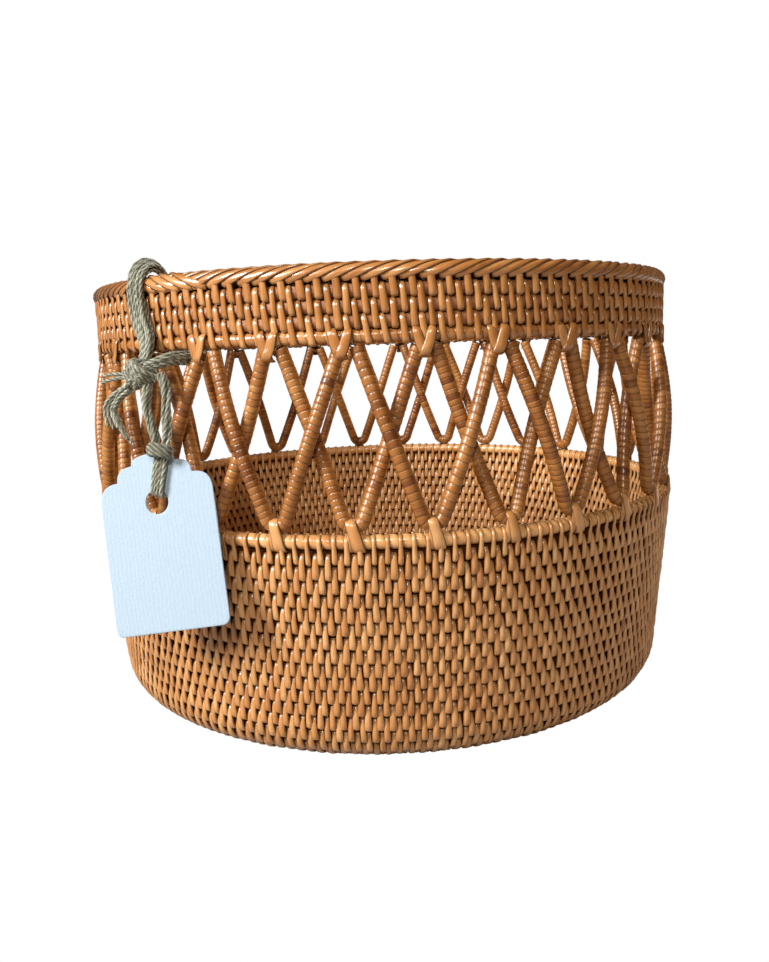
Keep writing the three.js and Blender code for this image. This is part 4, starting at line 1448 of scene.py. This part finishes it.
@dataclass
class HangCord:
    """Doubled cotton cord round the band, with its knot and its two cut ends."""

    band: Band
    angle: float = math.radians(-41.0)
    gap: float = 0.7
    seat_gap: float = 0.3
    loop_width: float = 7.2
    loop_depth: float = 4.2
    loop_slack: float = 2.0
    knot_width: float = 12.0
    knot_height: float = 12.6
    knot_yarn: float = 1.05
    knot_steps: int = 48
    knot_spacing: float = 1.75
    knot_uneven: float = 0.5
    knot_sides: int = 12
    knot_plies: int = 3
    knot_ply_depth: float = 0.13
    knot_twists: int = 4
    knot_tones: float = 0.2
    knot_fibres: int = 10
    knot_out: float = 153.0
    knot_along: float = 4.5
    knot_drop: float = 9.1
    spacing: float = 0.7
    seed: int = 53

    def __post_init__(self) -> None:
        """Works out the height of the knot."""
        self.rng = np.random.default_rng(self.seed)
        self.beside = np.array([math.cos(self.angle), math.sin(self.angle), 0.0])
        self.knot_z = self.band.bottom - self.knot_drop
        self.knot_middle = self.place(self.knot_out, self.knot_along, self.knot_z)

    def place(self, out: float, along: float, height: float) -> Array:
        """Place beside the band where the cord is tied: out from the axis, along the band and up."""
        return around(self.angle, out, height) + self.beside * along

    def by_knot(self, out: float, along: float, height: float) -> Array:
        """Place given from the middle of the knot."""
        return self.place(self.knot_out + out, self.knot_along + along, self.knot_z + height)

    def over_rim(self, turn: float, along: float) -> Array:
        """Place on the cord where it goes round the border, at a turn from straight out (0) to straight in (pi)."""
        band, clear = self.band, self.gap + self.loop_depth / 2
        out = band.braid_radius + (band.braid_width / 2 + clear) * math.cos(turn)
        rise = (band.braid_height / 2 + clear + self.loop_slack) * math.sin(turn)
        return self.place(out, along, band.braid_middle + rise)

    def loop_route(self) -> list[Array]:
        """Route of the doubled cord from the knot over the border, down inside and back under the band."""
        band, low, half = self.band, self.band.bottom, self.loop_depth / 2
        outside = band.radius + band.braid_overhang + self.gap + half
        inside = band.braid_radius - band.braid_width / 2 - self.gap - half
        under = low - self.gap - half
        top = self.knot_height / 2
        return [
            self.by_knot(-1.6, 1.4, top + self.gap - 2),
            self.place(outside + 1.9, self.knot_along, self.knot_z + top + 4.8),
            self.place(outside, 0.8, low + 8),
            self.place(outside, -2, low + 15),
            *(self.over_rim(quarter * math.pi / 4, -3) for quarter in range(5)),
            self.place(inside, -1, low + 18),
            self.place(inside, 8, low + 11),
            self.place(inside, 16.5, low + 5),
            self.place(inside + 0.4, 18, low + 0.6),
            self.place(inside + 4, 18, under - 0.6),
            self.place(band.rod_radius + 0.5, 18, under - 0.6),
            self.place(self.knot_out - 5, 17.5, under - 0.9),
            self.place(self.knot_out - 1.8, 14.5, self.knot_z + 4.3),
            self.by_knot(-0.6, self.knot_width / 2 + self.gap - 2, 3),
        ]

    def knot(self) -> Surface:
        """Overhand knot: rings of yarn that cross over a ball at three slants."""
        out = around(self.angle, 1.0, 0.0)
        turn = full_turn(self.knot_steps)[:, None]
        wide, tall = self.knot_width / 2 - 1.0, self.knot_height / 2 - 1.0
        parts = []
        for slant, tip, size, count in ((0.55, 0.5, 1.0, 4), (-0.75, -0.35, 0.94, 4), (1.45, 0.1, 0.84, 3)):
            first = self.beside * math.cos(slant) * wide - UP * math.sin(slant) * tall
            deep = unit(out + UP * tip) * wide
            side = unit(np.cross(first, deep))
            for number in range(count):
                shift = (number - (count - 1) / 2) * self.knot_spacing + jitter(1, self.knot_uneven, self.rng)[0]
                shrink = size * math.sqrt(max(1 - (shift / (wide + 1.6)) ** 2, 0.1))
                sway = self.knot_uneven * np.sin(turn * 2 + TURN * self.rng.random())
                ring = shrink * (first * np.cos(turn) + deep * np.sin(turn)) + side * (shift + sway)
                parts.append(self.closed_yarn(self.knot_middle + ring, self.knot_yarn))
        return Surface.joined(parts)

    def closed_yarn(self, ring: Array, radius: float) -> Surface:
        """A ring of plied yarn whose plies meet where it closes."""
        run = unit(np.roll(ring, -1, axis=0) - np.roll(ring, 1, axis=0))
        across = unit(ring - ring.mean(axis=0))
        facing = np.cross(run, across)
        s = full_turn(self.knot_sides)
        twist = full_turn(len(ring))[:, None] * self.knot_twists
        lobe = np.cos(self.knot_plies * (s - twist))
        size = radius * (1 + self.knot_ply_depth * lobe)
        points = sections(ring, across, facing, size, s)
        along = np.arange(len(ring))[:, None] * self.spacing
        grain = fibre_grid(along, (s - twist) * radius, self.rng.integers(50))
        tone = jitter(1, self.knot_tones, self.rng)
        yarn = Surface.of_tubes(points[None], tone, PLY_TUCK * (1 - lobe[None]) / 2, grain[None], closed=True)
        return Surface.joined([yarn, loose_fibres(points[None], ring[None], self.knot_fibres, self.rng)])

    def tail_routes(self) -> tuple[list[Array], list[Array]]:
        """Routes of the two cut ends."""
        side = -self.knot_width / 2 - self.seat_gap
        upper = [self.by_knot(0.4, side, -0.9), self.by_knot(2.5, side - 7, -1.1),
                 self.by_knot(4.5, side - 14, -2.3)]
        lower = [self.by_knot(1, side - 0.6, -5.6), self.by_knot(3, side - 7, -9),
                 self.by_knot(4.2, side - 12.7, -15), self.by_knot(4, side - 11.2, -23)]
        return upper, lower

    def build(self) -> None:
        path = cord_path(self.loop_route(), self.spacing)
        rest = np.linspace(path_length(path), 0, len(path))
        gather = np.interp(rest, (0, 14, 30), (0.5, 0.62, 1.0)) * np.interp(rest[::-1], (0, 12), (0.72, 1.0))
        flat = layers(5, 2, 2.7, 0.85)
        bundle = LOOP_YARN.bundle(path, self.beside, flat, NO_TWIST, self.rng, gather=gather)
        loop = add_piece("cord_loop", bundle, COTTON, Body.BASKET, Slot.CORD, ("hang_loop",))
        knot = add_piece("cord_knot", self.knot(), COTTON, Body.BASKET, Slot.CORD, ("hang_knot",))
        upper, lower = (cord_path(route, self.spacing) for route in self.tail_routes())
        fan = np.array([1.6, 0.2, -1.8])[:, None] * UP
        short = END_YARN.bundle(upper, UP, oval(3, 0.85, 0.85), 60.0, self.rng, fan)
        add_piece("cord_end_upper", short, COTTON, Body.BASKET, Slot.CORD, ("tail_upper",))
        along = np.linspace(-2.0, 16.0, 9)
        drop = np.array([2.0, 0.5, 1.0, -0.5, 0.0, -1.0, -2.5, -3.0, -4.5])
        fan = along[:, None] * self.beside + drop[:, None] * UP
        long = END_YARN.bundle(lower, UP, oval(9, 1.7, 1.3), 300.0, self.rng, fan)
        add_piece("cord_end_lower", long, COTTON, Body.BASKET, Slot.CORD, ("tail_lower",))


@dataclass
class Tag:
    """Card with a scalloped top, the cord through its hole and the strands that it hangs by."""

    cord: HangCord
    place: Place = (-90.0, -132.9, 111.1)
    facing: float = math.radians(-12.2)
    lean: float = math.radians(11.3)
    tilt: float = math.radians(8.9)
    cord_tilt: float = math.radians(-7.0)
    width: float = 48.0
    below_hole: float = 51.0
    above_hole: float = 19.5
    shoulder: float = 2.0
    corner: float = 3.6
    thickness: float = 0.8
    soft_edge: float = 0.12
    hole: float = 4.8
    outer_notch: tuple[float, float] = (16.0, 9.8)
    inner_notch: tuple[float, float] = (9.2, 15.6)
    collar: tuple[float, float, float] = (11.4, 6.4, 6.4)
    collar_drop: float = 2.6
    loop_width: float = 6.4
    loop_depth: float = 2.4
    seed: int = 71

    def __post_init__(self) -> None:
        """Works out the axes of the card and of its cord: X across, Y up and Z out, from the middle of the hole."""
        self.rng = np.random.default_rng(self.seed)
        level = np.array([math.cos(self.facing), math.sin(self.facing), 0.0])
        out = outward(self.facing, self.lean)
        up = np.cross(out, level)

        def turned(angle: float) -> Array:
            """Axes turned in the card's plane."""
            return np.stack([level * math.cos(angle) + up * math.sin(angle),
                             up * math.cos(angle) - level * math.sin(angle), out])

        self.card_axes, self.cord_axes = turned(self.tilt), turned(self.cord_tilt)
        self.collar_out = self.thickness / 2 + self.cord.seat_gap + self.collar[1] / 2
        self.collar_bottom = self.above_hole - self.collar_drop
        self.collar_top = self.collar_bottom + self.collar[2]

    def on_card(self, local: Array) -> Array:
        """Places given in the card's own axes."""
        return np.asarray(local, float) @ self.card_axes + np.array(self.place)

    def on_cord(self, *local: float) -> Array:
        """Place given in the axes of the cord that goes through the hole."""
        return np.array(local) @ self.cord_axes + np.array(self.place)

    def outline(self) -> Array:
        """Edge of the card: straight sides, round lower corners and three lobes a side that meet in notches."""
        half, low = self.width / 2, -self.below_hole
        corners = [(half, self.shoulder), self.outer_notch, self.inner_notch, (0.0, self.above_hole)]
        t = np.linspace(0, 1, 14, endpoint=False)[:, None]

        def bend(start: tuple, control: tuple, end: tuple) -> Array:
            """Curve that leaves along start to control and arrives along control to end."""
            first, pull, last = (np.array(p, float) for p in (start, control, end))
            return first * (1 - t) ** 2 + 2 * pull * t * (1 - t) + last * t**2

        right = [np.linspace((0.0, low), (half - self.corner, low), 12, endpoint=False),
                 bend((half - self.corner, low), (half, low), (half, low + self.corner)),
                 np.linspace((half, low + self.corner), (half, self.shoulder), 20, endpoint=False)]
        right += [bend(a, (a[0], b[1]), b) for a, b in zip(corners[:-1], corners[1:])]
        right = np.concatenate(right)
        left = (right * (-1, 1))[1:][::-1]
        return np.concatenate([right, [corners[-1]], left])

    def card(self) -> Surface:
        """The card: rings from the rim of the hole out to the edge, over it and back on the other face."""
        edge = self.outline()
        hole = unit(edge) * self.hole
        half = self.thickness / 2
        share = np.concatenate([[0.0, 0.012, 0.03], np.linspace(0.1, 0.9, 10), [0.975, 0.993, 1.0]])
        front = hole + (edge - hole) * share[:, None, None]
        depth = np.where((share == 0) | (share == 1), half - self.soft_edge, half)
        depth = np.broadcast_to(depth[:, None, None], (*front.shape[:2], 1))
        rings = np.concatenate([np.concatenate([front, depth], 2), np.concatenate([front, -depth], 2)[::-1]])
        points = np.swapaxes(rings, 0, 1)[::-1]
        return Surface.of_tubes(self.on_card(points)[None], 0.5, 0.0, points[None], closed=True)

    def loop_route(self) -> list[Array]:
        """Route of the doubled cord through the hole and over the top edge."""
        half = self.loop_depth / 2
        beside = self.thickness / 2 + self.cord.seat_gap + half
        free = self.hole - self.cord.seat_gap
        in_hole = math.sqrt(free**2 - (self.loop_width / 2) ** 2) - self.cord.seat_gap
        over = self.above_hole + self.cord.gap + half
        return [
            self.on_cord(0, self.collar_bottom + 2, beside + 0.8),
            self.on_cord(0, self.collar_bottom, beside + 0.2),
            self.on_cord(0, in_hole + 7, beside),
            self.on_cord(0, in_hole + 2.2, beside),
            self.on_cord(0, in_hole + 0.4, beside - 0.7),
            self.on_cord(0, in_hole, 0),
            self.on_cord(0, in_hole + 0.4, 0.7 - beside),
            self.on_cord(0, in_hole + 2.2, -beside),
            self.on_cord(0, self.above_hole - 2, -beside),
            self.on_cord(0, over - 0.6, -beside + 0.7),
            self.on_cord(0, over - 0.1, 0),
        ]

    def collar_turns(self) -> Surface:
        """Four turns of yarn round the strands, as a helix on an oval."""
        turns, yarn = 4.0, COLLAR_YARN.radius
        t = np.linspace(0, 1, 150)
        turn = t * turns * TURN
        wide = self.collar[0] / 2 - yarn - 0.9 * np.abs(2 * t - 1) ** 2
        deep = self.collar[1] / 2 - yarn - 0.2
        height = self.collar_bottom + yarn + (self.collar[2] - 2 * yarn) * t + 0.5 * np.sin(turn)
        local = np.stack([wide * np.cos(turn), height, self.collar_out + deep * np.sin(turn)], axis=-1)
        path = local @ self.cord_axes + np.array(self.place)
        return COLLAR_YARN.bundle(path, self.cord_axes[1], np.zeros((1, 2)), 40.0, self.rng)

    def strand_routes(self) -> dict[str, list[Array]]:
        """Routes of the two strands from under the knot to the collar."""
        by_knot, gap = self.cord.by_knot, self.cord.gap
        under = -self.cord.knot_height / 2 - self.cord.seat_gap
        left = [by_knot(-0.4, 3.6, under + 2), by_knot(0, 4.2, under), by_knot(1.5, 5, -12),
                by_knot(3.5, 10.1, -20),
                self.on_cord(-2.3, self.collar_top + gap, self.collar_out),
                self.on_cord(-2.2, self.collar_top - 2, self.collar_out)]
        right = [by_knot(-1.5, 12, -0.4), by_knot(-0.5, 15.8, -6.4), by_knot(1.5, 18, -15),
                 self.on_cord(2.1, self.collar_top + 5, self.collar_out),
                 self.on_cord(2.3, self.collar_top + gap, self.collar_out),
                 self.on_cord(2.2, self.collar_top - 2, self.collar_out)]
        return {"left": left, "right": right}

    def build(self) -> None:
        add_piece("tag_card", self.card(), CARD, Body.TAG, Slot.CARD, ("hang_tag",))
        collar = add_piece("tag_collar_turns", self.collar_turns(), COTTON, Body.BRIDLE, Slot.CORD, ("tag_collar",))
        for name, route in self.strand_routes().items():
            path = cord_path(route, self.cord.spacing)
            bundle = LOOP_YARN.bundle(path, self.cord.beside, oval(4, 1.2, 1.2), 60.0, self.rng)
            node = f"bridle_{name}"
            add_piece(f"{node}_yarns", bundle, COTTON, Body.BRIDLE, Slot.CORD, (node,))
        path = cord_path(self.loop_route(), self.cord.spacing)
        half_width = 2.1
        flat = layers(4, 1, half_width, 0.0)
        bundle = TAG_YARN.bundle(path, self.cord_axes[0], flat, NO_TWIST, self.rng)
        loop = add_piece("tag_loop_yarns", bundle, COTTON, Body.BRIDLE, Slot.CORD, ("tag_loop",))


# Studio


@dataclass(frozen=True)
class Lamp:
    """A square soft light: its place and size in metres, its power in watts, and whether gloss shows it."""

    name: str
    place: Place
    size: float
    watts: float
    colour: Colour
    mirrored: bool = True


WINDOW_LEFT = Lamp("window_left", (-1.15, -0.76, 0.93), 0.5, 41.0, (1.0, 0.985, 0.96))
FILL_FRONT = Lamp("fill_front", (-0.1, -1.3, 1.0), 0.2, 9.5, (1.0, 0.9, 0.77))
WINDOW_BEHIND = Lamp("window_behind", (1.1, 1.05, 0.6), 0.8, 40.0, (1.0, 0.97, 0.93), mirrored=False)
SURROUND, WHITE = (0.035, 0.031, 0.027, 1.0), (1.0, 1.0, 1.0, 1.0)
FLOOR_COLOUR = (0.33, 0.3, 0.26, 1.0)


@dataclass
class Studio:
    """Camera at the photograph's place, a pale floor and soft light from the left, the front and behind.

    The lights point at the place `aim`, in metres.
    """

    image: tuple[int, int] = (769, 962)
    focal_pixels: float = 836.8
    eye: Place = (0.0, -457.2, 168.9)
    pan: float = -0.0012
    tilt: float = -0.1603
    roll: float = -0.0336
    sensor: float = 36.0
    aim: Place = (0.0, 0.0, 0.1)

    def add_camera(self) -> None:
        """Adds the camera: it looks along pan and tilt, rolled about its own axis."""
        look = np.array([math.sin(self.pan) * math.cos(self.tilt), math.cos(self.pan) * math.cos(self.tilt),
                         math.sin(self.tilt)])
        level = np.array([math.cos(self.pan), -math.sin(self.pan), 0.0])
        above = np.cross(level, look)
        right = math.cos(self.roll) * level + math.sin(self.roll) * above
        up = np.cross(right, look)
        camera = bpy.data.cameras.new("photo_camera")
        camera.sensor_fit = "VERTICAL"
        camera.sensor_height = self.sensor
        camera.lens = self.focal_pixels * self.sensor / self.image[1]
        camera.clip_start = 0.01
        holder = bpy.data.objects.new("photo_camera", camera)
        place = np.eye(4)
        place[:3, :3] = np.stack([right, up, -look], axis=1)
        place[:3, 3] = np.array(self.eye) * MM
        holder.matrix_world = Matrix(place.tolist())
        bpy.context.scene.collection.objects.link(holder)
        bpy.context.scene.camera = holder

    def add_floor(self) -> None:
        """Adds a round pale floor that lights the pot from below and that the camera sees as plain white."""
        steps = 96
        reach = np.array([0.01, 200.0, 400.0, 900.0, 3000.0, 12000.0])
        ring = around(full_turn(steps)[None, :], reach[:, None], 0.0)
        here = np.arange(steps)
        beside = (here + 1) % steps
        inner = np.arange(len(reach) - 1)[:, None] * steps
        faces = np.stack([inner + here, inner + beside, inner + steps + beside, inner + steps + here], axis=-1)
        flat = np.zeros(ring.shape[0] * steps)
        surface = Surface(ring.reshape(-1, 3), [faces.reshape(-1, 4)], flat, flat, ring.reshape(-1, 3))
        floor = bpy.data.objects.new("floor", write_mesh("floor", surface))
        material, nodes, shader = new_material("pale_floor")
        shader.inputs["Base Color"].default_value = FLOOR_COLOUR
        shader.inputs["Roughness"].default_value = 0.9
        shader.inputs["Specular IOR Level"].default_value = 0.1
        glow = nodes.add("ShaderNodeEmission", Strength=1.0)
        seen = nodes.add("ShaderNodeLightPath").outputs["Is Camera Ray"]
        both = nodes.add("ShaderNodeMixShader", In0=seen, In1=shader.outputs[0], In2=glow.outputs[0])
        nodes.tree.links.new(both.outputs[0], nodes.tree.nodes["Material Output"].inputs["Surface"])
        floor.data.materials.append(material)
        bpy.context.scene.collection.objects.link(floor)

    def add_lamp(self, lamp: Lamp) -> None:
        """Adds a light that points at the pot."""
        light = bpy.data.lights.new(lamp.name, "AREA")
        light.size, light.energy, light.color = lamp.size, lamp.watts, lamp.colour
        holder = bpy.data.objects.new(lamp.name, light)
        back = unit(np.array(lamp.place) - np.array(self.aim))
        side = unit(np.cross(UP, back))
        matrix = np.eye(4)
        matrix[:3, :3] = np.stack([side, np.cross(back, side), back], axis=1)
        matrix[:3, 3] = lamp.place
        holder.matrix_world = Matrix(matrix.tolist())
        holder.visible_glossy = lamp.mirrored
        bpy.context.scene.collection.objects.link(holder)

    def add_light(self) -> None:
        """Adds the lights and a dim surround that the camera sees as plain white."""
        for lamp in (WINDOW_LEFT, FILL_FRONT, WINDOW_BEHIND):
            self.add_lamp(lamp)
        world = bpy.data.worlds.new("white_surround")
        world.use_nodes = True
        nodes = NodeTree(world.node_tree)
        seen = nodes.add("ShaderNodeLightPath").outputs["Is Camera Ray"]
        back = world.node_tree.nodes["Background"]
        world.node_tree.links.new(nodes.mix(seen, SURROUND, WHITE), back.inputs["Color"])
        bpy.context.scene.world = world
        view = bpy.context.scene.view_settings
        view.view_transform = "Standard"
        view.look = "None"


def main() -> None:
    """Builds the studio and the pot."""
    logging.basicConfig(level=logging.INFO, format="%(message)s")
    studio = Studio()
    studio.add_camera()
    band = Band()
    cord = HangCord(band)
    cord.build()
    Tag(cord).build()
    bowl = Bowl()
    bowl.build()
    Lattice(bowl).build()
    band.build()
    studio.add_floor()
    studio.add_light()


if __name__ == "__main__":
    main()
